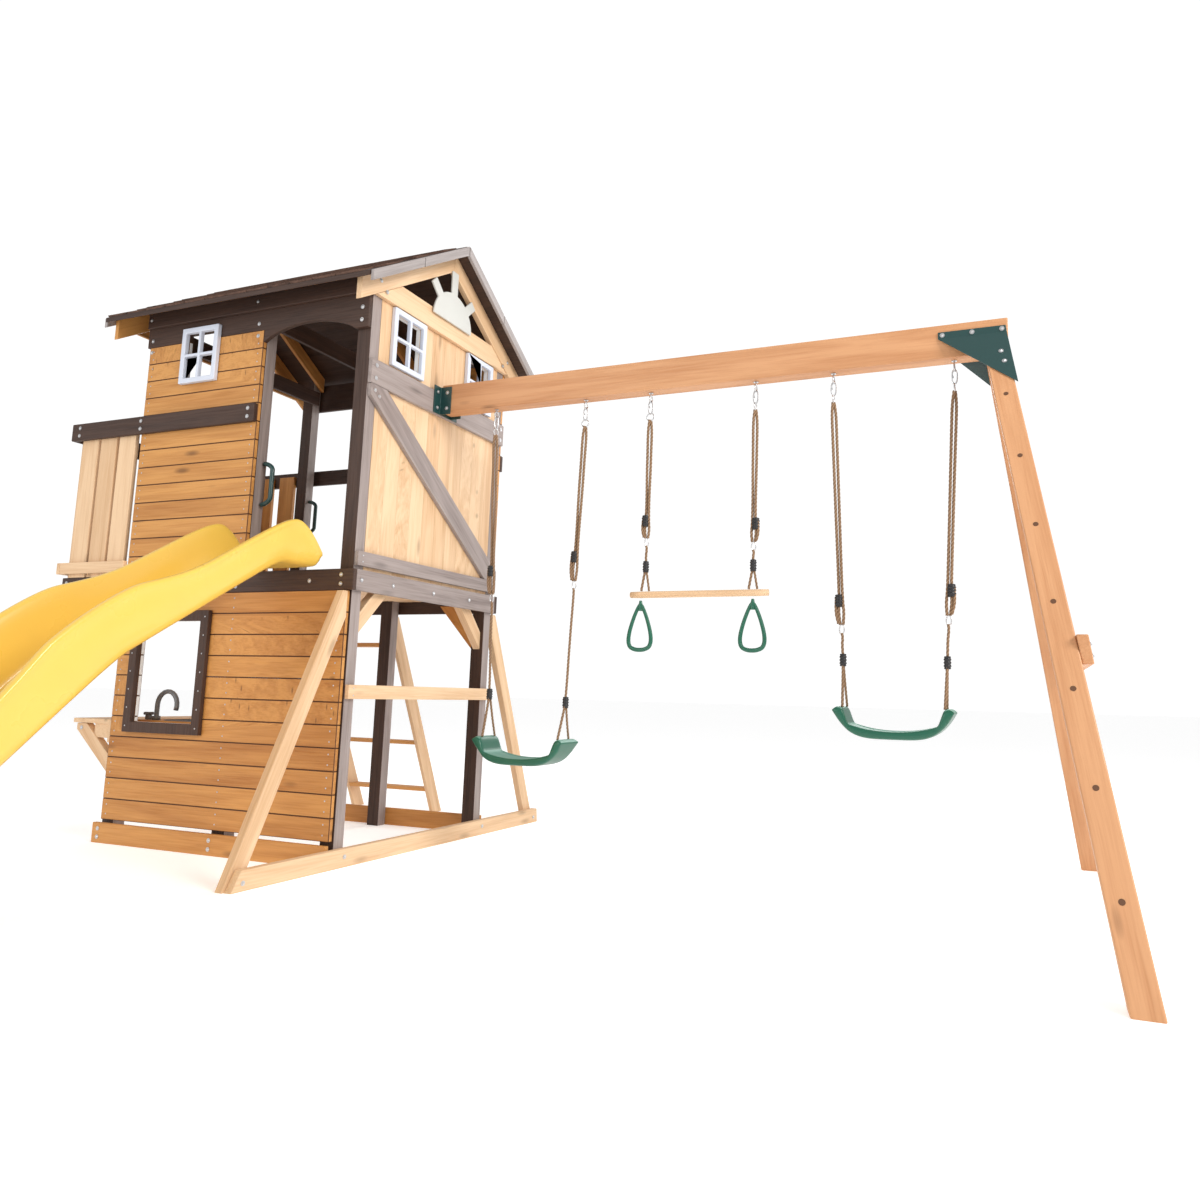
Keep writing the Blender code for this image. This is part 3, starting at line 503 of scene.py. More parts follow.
def row(name, low, high, count, axis, gap, mat, seed=1, cutters=(), width=0.0022, edge=None):
    """Boards side by side along one axis, filling a box from low to high."""
    low = Vector(low)
    high = Vector(high)
    size = high - low
    pitch = size[axis] / count
    one = Vector(size)
    one[axis] = pitch - gap
    start = (low + high) / 2
    start[axis] = low[axis] + pitch / 2
    step = Vector((0, 0, 0))
    step[axis] = pitch
    ob = ROW.grow(name, {"Count": count, "Start": tuple(start), "Step": tuple(step), "Size": tuple(one),
                         "Seed": seed, "Material": mat})
    blocks = []
    for c_low, c_high in cutters:
        bm = bmesh.new()
        bmesh.ops.create_cube(bm, size=1.0)
        mid = (Vector(c_low) + Vector(c_high)) / 2
        ext = Vector(c_high) - Vector(c_low)
        for v in bm.verts:
            v.co = mid + Vector((v.co.x * ext.x, v.co.y * ext.y, v.co.z * ext.z))
        block = from_bmesh("cut", bm, mat)
        blocks.append(block)
        m = ob.modifiers.new("opening", "BOOLEAN")
        m.operation = "DIFFERENCE"
        m.solver = "EXACT"
        m.object = block
    bake(ob)
    for block in blocks:
        bpy.data.objects.remove(block, do_unlink=True)
    return soften(ob, width, 2, edge)


print("row tree inputs", list(ROW.ids))

# %% [markdown]
# Bolts, washers and screws repeat hundreds of times. Each one is a point with a facing
# direction stored on it, and one tree turns a low-sided head to that direction. Coach bolts
# get a domed head over a washer, screws only a small flat disc.

# %% Fixings tree
FIX = Tree("fixings", [("Points", "NodeSocketGeometry"), ("Head", "NodeSocketFloat"),
                       ("Washer", "NodeSocketFloat"), ("Thick", "NodeSocketFloat"),
                       ("Material", "NodeSocketMaterial")])
face_dir = FIX.node("GeometryNodeInputNamedAttribute", {"data_type": "FLOAT_VECTOR"}, {"Name": "facing"})
aim = FIX.node("FunctionNodeAlignRotationToVector", {"axis": "Z"}, {"Vector": face_dir.outputs[0]})
disc = FIX.node("GeometryNodeMeshCylinder", {}, {"Vertices": 12, "Radius": FIX.given("Washer"),
                                                "Depth": FIX.given("Thick")})
dome = FIX.node("GeometryNodeMeshIcoSphere", {}, {"Radius": FIX.given("Head"), "Subdivisions": 2})
both = FIX.node("GeometryNodeJoinGeometry")
FIX.group.links.new(disc.outputs[0], both.inputs[0])
FIX.group.links.new(dome.outputs[0], both.inputs[0])
heads = FIX.node("GeometryNodeInstanceOnPoints", {}, {"Points": FIX.given("Points"), "Instance": both.outputs[0],
                                                     "Rotation": aim.outputs[0]})
FIX.end(heads.outputs[0])


def fixings(name, spots, mat, body, head=0.0055, washer=0.0095, thick=0.004):
    """spots: (place, facing) pairs."""
    mesh = bpy.data.meshes.new(name)
    mesh.from_pydata([tuple(p) for p, d in spots], [], [])
    layer = mesh.attributes.new("facing", "FLOAT_VECTOR", "POINT")
    flat = []
    for p, d in spots:
        flat.extend(d)
    layer.data.foreach_set("vector", flat)
    ob = FIX.grow(name, {"Head": head, "Washer": washer, "Thick": thick, "Material": mat}, mesh)
    bake(ob)
    return settle(ob, body)


TO_FRONT = (0, -1, 0)
TO_REAR = (0, 1, 0)
TO_SWING = (1, 0, 0)
TO_BALCONY = (-1, 0, 0)
bolts = []
screws = []
print("fixings tree inputs", list(FIX.ids))

# %% [markdown]
# The posts stand on the ground and carry everything else. They are plain squared timbers,
# stained dark, so the CAD boxes are copied, merged and given slightly rounded edges.

# %% Posts
for row_name in ("front", "rear"):
    for column in ("left", "middle", "right"):
        node = "post_" + row_name + "_" + column
        post = clean(node, node + "_timber", wood("dark", Z), "frame", 0.003)
        # The side of each post facing the swings gets paler grey: painted light.
        paint_lit_side_grey(tone_all(post, random.Random(node).random()), Z)
print("posts placed")

# %% [markdown]
# The deck is a dark rim of four boards bolted round the posts, with pale floor boards laid
# across it. The rim is kept as one bolted ring and the floor becomes a row of planks, with the
# posts cut out of it the way a carpenter notches them.

# %% Deck
floor_low, floor_high = span("deck_floor")
rim_low, rim_high = span("deck_rim")
post_holes = []
for row_name in ("front", "rear"):
    for column in ("left", "middle", "right"):
        p_low, p_high = span("post_" + row_name + "_" + column)
        grow = Vector((0.002, 0.002, 0.0))
        post_holes.append((p_low - grow, p_high + grow))
floor = row("deck_planks", floor_low, floor_high, 14, 0, 0.006, wood("light", Y), 3, post_holes)
settle(floor, "frame", ["deck_floor"])
RIM_T = 0.022
ring_parts = []
# The rim board on the swing side (+X) gets the paler grey wood: painted light on its sunlit face.
for n, (lo, hi, kind, along) in enumerate((
        ((rim_low.x, rim_low.y, rim_low.z), (rim_high.x, rim_low.y + RIM_T, rim_high.z), "dark", X),
        ((rim_low.x, rim_high.y - RIM_T, rim_low.z), (rim_high.x, rim_high.y, rim_high.z), "dark", X),
        ((rim_low.x, rim_low.y + RIM_T, rim_low.z), (rim_low.x + RIM_T, rim_high.y - RIM_T, rim_high.z), "dark", Y),
        ((rim_high.x - RIM_T, rim_low.y + RIM_T, rim_low.z), (rim_high.x, rim_high.y - RIM_T, rim_high.z), "grey", Y))):
    ring_parts.append(tone_all(beam("rim_" + str(n), lo, hi, wood(kind, along)), 0.2 + 0.2 * n))
settle(merge("deck_rim_boards", ring_parts), "frame", ["deck_rim"])
RIM_MID = (rim_low.z + rim_high.z) / 2
for x in (-0.045, -0.650, -1.350, -1.790):
    for dz in (-0.020, 0.020):
        bolts.append((at(x, rim_low.y - FACE.y, RIM_MID + dz), TO_FRONT))
bolts.append((at(-0.219, rim_low.y - FACE.y, RIM_MID - 0.004), TO_FRONT))
for y in (0.030, 0.240, 0.540, 0.840, 1.050):
    bolts.append((Vector((rim_high.x, FACE.y + y, RIM_MID)), TO_SWING))
print("deck height", round(floor_high.z, 3))

# %% [markdown]
# The walls facing the slide are lapped cedar siding. Horizontal boards are laid as a row with
# a hair of shadow between them, and the window openings are cut through the row afterwards, so
# the boards meet the window frames exactly.

# %% Siding
SIDE_GAP = 0.0003
low, high = span("wall_front_lower")
f_low, f_high = span("frame_serving_window")
RIM = 0.048
hatch = (Vector((f_low.x + RIM, low.y - 0.1, f_low.z + RIM)), Vector((f_high.x - RIM, high.y + 0.1, f_high.z - RIM)))
# The bevelled board edges get the dark seam material: painted shade between the boards.
wall = row("siding_lower", low, high, 11, 2, SIDE_GAP, wood("cedar", X), 11, [hatch], 0.003, SEAM_SHADE)
settle(wall, "frame", ["wall_front_lower"])
for i in range(11):
    z = low.z + (high.z - low.z) * (i + 0.5) / 11
    for x in (low.x + 0.030, high.x - 0.035, FACE.x - 0.650):
        if hatch[0].x < x < hatch[1].x and f_low.z < z < f_high.z:
            continue
        for dz in (-0.022, 0.022):
            screws.append((Vector((x, low.y, z + dz)), TO_FRONT))
low, high = span("wall_front_upper")
w_low, w_high = span("window_front")
pane = (Vector((w_low.x + 0.026, low.y - 0.1, w_low.z + 0.026)), Vector((w_high.x - 0.026, high.y + 0.1, w_high.z)))
wall = row("siding_upper", low, high, 13, 2, SIDE_GAP, wood("cedar", X), 23, [pane], 0.003, SEAM_SHADE)
settle(wall, "frame", ["wall_front_upper"])
for i in range(13):
    z = low.z + (high.z - low.z) * (i + 0.5) / 13
    for x in (low.x + 0.030, high.x - 0.030):
        for dz in (-0.020, 0.020):
            screws.append((Vector((x, low.y, z + dz)), TO_FRONT))
low, high = span("wall_rear")
wall = row("siding_rear", low, high, 15, 2, SIDE_GAP, wood("cedar", X), 31, (), 0.003, SEAM_SHADE)
settle(wall, "frame", ["wall_rear"])
low, high = span("wall_side")
side_panes = []
for tag in "ab":
    w_low, w_high = span("window_side_" + tag)
    side_panes.append((Vector((low.x - 0.1, w_low.y + 0.026, w_low.z + 0.026)),
                       Vector((high.x + 0.1, w_high.y - 0.026, w_high.z - 0.026))))
# Bevelled edges of the side boards get the pale seam material: painted shade between the boards.
wall = row("boards_side", low, high, 10, 1, 0.0006, wood("light", Z), 41, side_panes, 0.0026, SEAM_SHADE_PALE)
settle(wall, "frame", ["wall_side"])
print("siding laid")

# %% [markdown]
# Header, rails and window frames are trim. They sit proud of the siding, so a soft edge is
# enough to catch the light, and the grain follows each board's length.

# %% Trim
header = clean("header_front", "header_arched", wood("dark", X), "frame", 0.003)
tone_all(header, 0.15)
h_low, h_high = span("header_front")
fascia = beam("eave_board", (h_low.x + 0.012, h_low.y - 0.0185, h_high.z - 0.082),
              (h_high.x - 0.004, h_low.y - 0.0006, h_high.z - 0.004), wood("dark", X))
settle(tone_all(fascia, 0.35), "frame")
for x in (h_low.x + 0.035, FACE.x - 0.650, h_high.x - 0.035):
    for z in (h_low.z + 0.035, h_low.z + 0.095):
        bolts.append((Vector((x, h_low.y, z)), TO_FRONT))
    bolts.append((Vector((x, h_low.y - 0.0185, h_high.z - 0.040)), TO_FRONT))
back = beam("rear_header", (CORNER_HIGH.x - 1.388, FACE.y + TOWER_WIDE + 0.002, 2.430),
            (FACE.x - 0.662, FACE.y + TOWER_WIDE + 0.022, 2.596), wood("dark", X))
settle(tone_all(back, 0.4), "frame")
rail = clean("rail_top", "rail_boards", wood("dark", X), "frame", 0.004)
tone_all(rail, 0.3)
r_low, r_high = span("rail_top")
for x in (FACE.x - 0.650, FACE.x - 1.350, r_low.x + 0.06):
    for dz in (-0.020, 0.020):
        bolts.append((Vector((x, r_low.y, (r_low.z + r_high.z) / 2 + dz)), TO_FRONT))
for node in ("window_front", "window_side_a", "window_side_b"):
    clean(node, node + "_frame", WHITE, "frame", 0.0035)
clean("frame_serving_window", "serving_frame", wood("dark", Z), "frame", 0.003)
for z in range(7):
    for x in (f_low.x + 0.020, f_high.x - 0.020):
        screws.append((Vector((x, f_low.y, f_low.z + 0.03 + z * (f_high.z - f_low.z - 0.06) / 6)), TO_FRONT))
print("header", [round(v, 3) for v in h_low])

# %% [markdown]
# The balcony fence is a row of pale pickets behind the dark rail, with a lower rail across
# them. The same row tree lays each side, only its box and its axis change.

# %% Fence
b_low, b_high = span("fence_balcony")
PICKET_TOP = b_high.z
BOARD = 0.022
PICKET_W = 0.114
PICKET_STEP = 0.1327
LOW_RAIL_TOP = 1.336
deck_z = floor_high.z + GAP
pale = wood("light", Z)
cedar_painted_shade = wood("cedar", Z)
sides = []
left_edge = b_low.x + BOARD
# The rear pickets are the same pale boards; they get the darker cedar wood as painted shade, since only their shaded
# side is seen.
for tag, y0, y1, stuff in (("front", FACE.y - BOARD, FACE.y - GAP, pale),
                           ("rear", FACE.y + TOWER_WIDE + GAP, FACE.y + TOWER_WIDE + BOARD, cedar_painted_shade)):
    count, lead, step = (3, 0.040, PICKET_STEP) if tag == "front" else (2, 0.067, 0.1706)
    first = left_edge + lead - (step - PICKET_W) / 2
    sides.append(row("pickets_" + tag, (first, y0, deck_z), (first + count * step, y1, PICKET_TOP), count, 0,
                     step - PICKET_W, stuff, 51))
sides.append(row("pickets_end", (left_edge, FACE.y - BOARD, deck_z),
                 (left_edge + BOARD, FACE.y + TOWER_WIDE + BOARD, PICKET_TOP), 7, 1, 0.0467, pale, 61))
sides.append(tone_all(beam("low_rail_front", (left_edge, FACE.y - 2 * BOARD, 1.279),
                           (FACE.x - 1.369, FACE.y - BOARD - GAP, LOW_RAIL_TOP), wood("light", X)), 0.3))
sides.append(tone_all(beam("low_rail_rear", (left_edge, FACE.y + TOWER_WIDE + BOARD + GAP, 1.279),
                           (FACE.x - 1.369, FACE.y + TOWER_WIDE + 2 * BOARD, LOW_RAIL_TOP), wood("light", X)), 0.6))
sides.append(tone_all(beam("low_rail_end", (b_low.x, FACE.y - 2 * BOARD, 1.279),
                           (left_edge - GAP, FACE.y + TOWER_WIDE + 2 * BOARD, LOW_RAIL_TOP), wood("light", Y)), 0.5))
settle(merge("balcony_fence", sides), "frame", ["fence_balcony"])
print("balcony from x", round(b_low.x, 3))

# %% [markdown]
# On the swing side a diagonal stiffens the panel. It is cut at both ends to sit flat against
# the boards above and below it, so it is drawn as a slanted outline and pushed to a board's
# thickness. The grain turns with it.

# %% Swing side boards
s_low, s_high = span("brace_side")
X0 = s_low.x - FACE.x
X1 = s_high.x - FACE.x
TOP_H = 0.116
LOW_H = 0.064
top_z = s_high.z - TOP_H
low_z = s_low.z + LOW_H
CUT = 0.109
parts = []
parts.append(tone_all(beam("beam_board", (s_low.x, FACE.y, top_z), (s_high.x, FACE.y + TOWER_WIDE, s_high.z),
                           wood("grey", Y)), 0.25))
parts.append(tone_all(beam("low_board", (s_low.x, FACE.y, s_low.z), (s_high.x, FACE.y + TOWER_WIDE, low_z),
                           wood("grey", Y)), 0.6))
slant = Vector((0, TOWER_WIDE - CUT, low_z - top_z))
parts.append(tone_all(outline_board("diagonal", "X", X0 + 0.0004, X1,
                                    [(0.004, top_z - 0.001), (0.004, top_z - 0.055), (TOWER_WIDE - CUT, low_z + 0.001),
                                     (TOWER_WIDE, low_z + 0.001), (TOWER_WIDE, low_z + 0.055), (CUT, top_z - 0.001)],
                                    wood("grey", slant)), 0.45))
settle(merge("brace_boards", parts), "frame", ["brace_side"])
for y in (0.030, TOWER_WIDE - 0.030):
    for z in (top_z + 0.028, s_high.z - 0.028):
        bolts.append((Vector((s_high.x, FACE.y + y, z)), TO_SWING))
    for z in (s_low.z + 0.018, low_z - 0.018):
        screws.append((Vector((s_high.x, FACE.y + y, z)), TO_SWING))
for y, z in ((0.030, top_z - 0.028), (0.060, top_z - 0.048), (TOWER_WIDE - 0.035, low_z + 0.02)):
    bolts.append((Vector((s_high.x, FACE.y + y, z)), TO_SWING))
print("beam board", round(top_z, 3), round(s_high.z, 3))

# %% [markdown]
# Each gable end is a tie with two rakes that meet at the ridge. The rakes lie under the roof
# slopes, so their top edges come from the slope itself, and the tie fits between them.

# %% Gables
ROOF_SLOPE = 0.657
RAKE = 0.102
roof_low_c, roof_high_c = span("roof_front")
RIDGE = roof_high_c.z
SLAB = 0.0359
g_low, g_high = span("gable_right")
GABLE_Z = 2.522
TIE_TOP = 2.630


def under(y):
    return RIDGE - SLAB - 0.002 - abs(y - HALF) * ROOF_SLOPE


reach = HALF - (under(HALF) - RAKE - TIE_TOP) / ROOF_SLOPE
foot_y = HALF - (under(HALF) - RAKE - GABLE_Z) / ROOF_SLOPE
eave_y = g_low.y - FACE.y
for node in ("gable_right", "gable_left"):
    n_low, n_high = span(node)
    x0 = n_low.x - FACE.x
    x1 = n_high.x - FACE.x
    boards = []
    tie = [(foot_y + 0.002, GABLE_Z), (TOWER_WIDE - foot_y - 0.002, GABLE_Z),
           (TOWER_WIDE - reach - 0.002, TIE_TOP), (reach + 0.002, TIE_TOP)]
    kind = "light" if node == "gable_right" else "cedar"
    boards.append(tone_all(outline_board("tie", "X", x0, x1 - 0.006, tie, wood(kind, Y)), 0.35))
    for sgn in (-1, 1):
        u0 = HALF + sgn * 0.0006
        u1 = HALF + sgn * (HALF - eave_y)
        rake = [(u0, under(HALF)), (u0, under(HALF) - RAKE), (u1, under(u1) - RAKE), (u1, under(u1))]
        run = Vector((0, 1, -sgn * ROOF_SLOPE))
        boards.append(tone_all(outline_board("rake", "X", x0, x1, rake, wood(kind, run)), 0.5 + sgn * 0.2))
    settle(merge(node + "_boards", boards), "frame", [node])
    if node == "gable_right":
        for y in (0.010, TOWER_WIDE - 0.010):
            bolts.append((at(x1, y, under(y) - 0.045), TO_SWING))
            bolts.append((at(x1, y + (0.045 if y < HALF else -0.045), GABLE_Z + 0.03), TO_SWING))
clean("sun_panel", "sun_half", SUN_WHITE, "frame", 0.004)
rafters = []
for n, x in enumerate((-1.300, -0.606)):
    for sgn in (-1, 1):
        u0 = HALF + sgn * 0.001
        u1 = HALF + sgn * (HALF - 0.012)
        shape = [(u0, under(HALF) - 0.002), (u0, under(HALF) - 0.085), (u1, under(u1) - 0.085), (u1, under(u1) - 0.002)]
        rafters.append(tone_all(outline_board("rafter", "X", x, x + 0.022, shape,
                                              wood("cedar", (0, 1, -sgn * ROOF_SLOPE))), 0.8))
    rafters.append(tone_all(outline_board("cross_tie", "X", x - 0.001 if n else x + 0.0226, x + 0.022 if n else x + 0.044,
                                          [(0.064, 2.440), (TOWER_WIDE - 0.064, 2.440), (TOWER_WIDE - 0.064, 2.525),
                                           (0.064, 2.525)], wood("dark", Y)), 0.4))
settle(merge("inner_rafters", rafters), "frame")
print("ridge", round(RIDGE, 3), "rake foot", round(foot_y, 3))

# %% [markdown]
# The roof is boarded and covered with shingles whose lower edges are cut in a gentle wave.
# One shingle is modelled, and a tree lays it in courses on a flat sheet, every second course
# shifted by half a width. The finished sheet is then tipped onto each slope.

# %% Shingle tree
SH = Tree("shingle_courses", [("Template", "NodeSocketGeometry"), ("Across", "NodeSocketInt"),
                              ("Courses", "NodeSocketInt"), ("Wide", "NodeSocketFloat"),
                              ("Exposure", "NodeSocketFloat"), ("Seed", "NodeSocketInt"),
                              ("Material", "NodeSocketMaterial")])
index = SH.node("GeometryNodeInputIndex")
total = SH.node("ShaderNodeMath", {"operation": "MULTIPLY"}, {0: SH.given("Across"), 1: SH.given("Courses")})
spots = SH.node("GeometryNodeMeshLine", {"mode": "OFFSET"}, {"Count": total.outputs[0], "Offset": (0, 0, 0)})
col = SH.node("ShaderNodeMath", {"operation": "FLOORED_MODULO"}, {0: index.outputs[0], 1: SH.given("Across")})
course = SH.node("ShaderNodeMath", {"operation": "DIVIDE"}, {0: index.outputs[0], 1: SH.given("Across")})
course_n = SH.node("ShaderNodeMath", {"operation": "FLOOR"}, {0: course.outputs[0]})
odd = SH.node("ShaderNodeMath", {"operation": "FLOORED_MODULO"}, {0: course_n.outputs[0], 1: 2.0})
shift = SH.node("ShaderNodeMath", {"operation": "MULTIPLY_ADD"}, {0: odd.outputs[0], 1: 0.5, 2: col.outputs[0]})
px = SH.node("ShaderNodeMath", {"operation": "MULTIPLY"}, {0: shift.outputs[0], 1: SH.given("Wide")})
py = SH.node("ShaderNodeMath", {"operation": "MULTIPLY"}, {0: course_n.outputs[0], 1: SH.given("Exposure")})
where = SH.node("ShaderNodeCombineXYZ", {}, {0: px.outputs[0], 1: py.outputs[0], 2: 0.0})
moved = SH.node("GeometryNodeSetPosition", {}, {"Geometry": spots.outputs[0], "Position": where.outputs[0]})
tiles = SH.node("GeometryNodeInstanceOnPoints", {}, {"Points": moved.outputs[0], "Instance": SH.given("Template")})
tint = SH.node("FunctionNodeRandomValue", {"data_type": "FLOAT"}, {2: 0.0, 3: 1.0, "Seed": SH.given("Seed")})
tagged = SH.node("GeometryNodeStoreNamedAttribute", {"data_type": "FLOAT", "domain": "INSTANCE"},
                 {"Geometry": tiles.outputs[0], "Name": "tone", "Value": tint.outputs[1]})
SH.end(tagged.outputs[0])
print("shingle inputs", list(SH.ids))


# %% Roof slopes
SHINGLE_T = 0.009
slope_len = hypot(HALF + 0.150, (HALF + 0.150) * ROOF_SLOPE)
COURSES = 7
EXPOSURE = (slope_len - 0.004) / COURSES
roof_wide = roof_high_c.x - roof_low_c.x
ACROSS = 12
SH_WIDE = roof_wide / (ACROSS + 0.5)


def shingle_template():
    """One shingle: x across, y up the slope, z out of it, thicker at its wavy foot."""
    bm = bmesh.new()
    w = SH_WIDE - 0.003
    n = 8
    foot = []
    for i in range(n + 1):
        t = i / n
        foot.append((w * t, 0.010 - 0.009 * sin(pi * t) - 0.0015 * sin(2 * pi * t)))
    low = [bm.verts.new((x, y, 0.0)) for x, y in foot]
    top = [bm.verts.new((x, y, SHINGLE_T)) for x, y in foot]
    head_low = [bm.verts.new((x, EXPOSURE * 0.985, 0.0)) for x, y in foot]
    head_top = [bm.verts.new((x, EXPOSURE * 0.985, SHINGLE_T * 0.35)) for x, y in foot]
    for i in range(n):
        bm.faces.new((low[i], low[i + 1], top[i + 1], top[i]))
        bm.faces.new((top[i], top[i + 1], head_top[i + 1], head_top[i]))
        bm.faces.new((head_top[i], head_top[i + 1], head_low[i + 1], head_low[i]))
        bm.faces.new((head_low[i], head_low[i + 1], low[i + 1], low[i]))
    bm.faces.new((low[0], top[0], head_top[0], head_low[0]))
    bm.faces.new((low[n], head_low[n], head_top[n], top[n]))
    bmesh.ops.recalc_face_normals(bm, faces=bm.faces)
    mesh = bpy.data.meshes.new("shingle")
    bm.to_mesh(mesh)
    bm.free()
    return mesh


for sgn, node in ((-1, "roof_front"), (1, "roof_rear")):
    sheet = SH.grow("shingles_" + node, {"Across": ACROSS, "Courses": COURSES, "Wide": SH_WIDE, "Exposure": EXPOSURE,
                                         "Seed": 7 + sgn, "Material": wood("roof", (0, 1, -sgn * ROOF_SLOPE))},
                    shingle_template())
    bake(sheet)
    n_low, n_high = span(node)
    eave = Vector((n_low.x, FACE.y + HALF + sgn * (HALF + 0.150), RIDGE - (HALF + 0.150) * ROOF_SLOPE))
    up = Vector((0, -sgn, ROOF_SLOPE)).normalized()
    out = Vector((0, sgn * ROOF_SLOPE, 1)).normalized()
    for v in sheet.data.vertices:
        base = eave + up * v.co.y + out * (v.co.z - SHINGLE_T - 0.0006)
        v.co = Vector((base.x + v.co.x, base.y, base.z))
    if Vector((1, 0, 0)).cross(up).dot(out) < 0:
        sheet.data.flip_normals()
    y_r = HALF + sgn * 0.0006
    y_e = HALF + sgn * (HALF + 0.150)
    z_e = RIDGE - (HALF + 0.150) * ROOF_SLOPE
    drop = SHINGLE_T * 1.22 + 0.001
    slab = outline_board("slab_" + node, "X", n_low.x - FACE.x, n_high.x - FACE.x,
                         [(y_r, RIDGE - drop), (y_e, z_e - drop), (y_e, z_e - SLAB), (y_r, RIDGE - SLAB)],
                         wood("dark", X), 0.002)
    tone_all(slab, 0.6)
    settle(sheet, "frame")
    settle(slab, "frame", [node])
    trims = []
    for end, x0 in (("near", roof_high_c.x - FACE.x + 0.0006), ("far", roof_low_c.x - FACE.x - 0.0186)):
        for a, b in ((0.004, 0.494), (0.500, 0.985)):
            ya = HALF + sgn * (HALF + 0.150) * a
            yb = HALF + sgn * (HALF + 0.150) * b
            za = RIDGE - abs(ya - HALF) * ROOF_SLOPE
            zb = RIDGE - abs(yb - HALF) * ROOF_SLOPE
            shape = [(ya, za - 0.014), (ya, za - 0.064), (yb, zb - 0.064), (yb, zb - 0.014)]
            trims.append(tone_all(outline_board("verge", "X", x0, x0 + 0.018, shape,
                                                wood("trim", (0, 1, -sgn * ROOF_SLOPE))), 0.3 + a * 0.5))
    settle(merge("verge_" + node, trims), "frame")
print("courses", COURSES, "exposure", round(EXPOSURE, 3))

# %% [markdown]
# Below the deck the tower stands on ground boards and a long ground beam that stops it tipping
# when the swings are used. Slanted struts tie that beam to the deck. These are single sawn
# timbers, so each CAD node is softened and gets a grain along its own run.

# %% Ground boards, outrigger and struts
tone_all(clean("rail_cross", "cross_rail", wood("light", Y), "frame", 0.003), 0.3)
tone_all(clean("beam_ground", "ground_beam", wood("light", Y), "frame", 0.003), 0.45)
tone_all(clean("board_ground_front", "ground_board_front", wood("cedar", X), "frame", 0.003), 0.4)
tone_all(clean("board_ground_rear", "ground_board_rear", wood("cedar", X), "frame", 0.003), 0.6)
for tag, sgn in (("front", -1), ("rear", 1)):
    run = Vector((0, sgn * 0.43, -1.0))
    tone_all(clean("strut_" + tag, "strut_" + tag + "_timber", wood("light", run), "frame", 0.003), 0.5)
g_low, g_high = span("beam_ground")
for y, z in ((-0.492, 0.030), (0.030, 0.044), (TOWER_WIDE - 0.030, 0.044), (TOWER_WIDE + 0.495, 0.030)):
    bolts.append((Vector((g_high.x, FACE.y + y, z)), TO_SWING))
c_low, c_high = span("rail_cross")
for y in (0.030, TOWER_WIDE - 0.030):
    for z in (c_low.z + 0.015, c_high.z - 0.015):
        screws.append((Vector((c_high.x, FACE.y + y, z)), TO_SWING))
gb_low, gb_high = span("board_ground_front")
for x in (-0.650, -1.350):
    for z in (0.028, 0.066):
        bolts.append((Vector((FACE.x + x, gb_low.y, z)), TO_FRONT))
print("struts set")

# %% [markdown]
# Knee braces stiffen the post tops under the deck. They only matter to the eye, so they are
# drawn here: an outline with mitred ends that fits between a post and the rim above it.

# %% Knee braces
DECK_UNDER = rim_low.z
knees = []
for sgn, base in ((1, 0.0606), (-1, TOWER_WIDE - 0.0606)):
    shape = [(base, DECK_UNDER - 0.200), (base + sgn * 0.001, DECK_UNDER - 0.108),
             (base + sgn * 0.135, DECK_UNDER + 0.040), (base + sgn * 0.225, DECK_UNDER + 0.040)]
    run = Vector((0, sgn, 1.1))
    knees.append(tone_all(outline_board("knee", "X", -0.060, -0.018, shape, wood("light", run)), 0.5))
for sgn_y, y0 in ((1, 0.012), (-1, TOWER_WIDE - 0.054)):
    shape = [(-0.0756, DECK_UNDER - 0.200), (-0.0766, DECK_UNDER - 0.108), (-0.205, DECK_UNDER + 0.036),
             (-0.295, DECK_UNDER + 0.036)]
    knees.append(tone_all(outline_board("knee", "Y", y0, y0 + 0.042, shape, wood("cedar", (-1, 0, 1.1))), 0.4))
settle(merge("knee_braces", knees), "frame")
print("knee braces", len(knees))

# %% [markdown]
# The ladder leans against the rear edge of the deck. Its two sides are sheared boards with
# the treads let in between them, so the CAD shape is kept.

# %% Ladder, counter and shelf
ladder_run = (0, 0.41, -1)
l_low, l_high = span("ladder")
LADDER_T = 0.022
lad_parts = []
LEAN = 0.520 / 1.165


def slanted(name, x0, x1, z0, z1, depth, stuff):
    """A board that leans back from the deck edge like the ladder's sides."""
    bm = bmesh.new()
    base = FACE.y + TOWER_WIDE + 0.024
    corners = []
    for z in (z0, z1):
        y = base + (l_high.z - z) * LEAN
        corners += [(x0, y, z), (x1, y, z), (x1, y + depth, z), (x0, y + depth, z)]
    vs = [bm.verts.new(c) for c in corners]
    for q in ((3, 2, 1, 0), (4, 5, 6, 7), (0, 1, 5, 4), (1, 2, 6, 5), (2, 3, 7, 6), (3, 0, 4, 7)):
        bm.faces.new([vs[i] for i in q])
    bmesh.ops.recalc_face_normals(bm, faces=bm.faces)
    return soften(from_bmesh(name, bm, stuff), 0.0025)


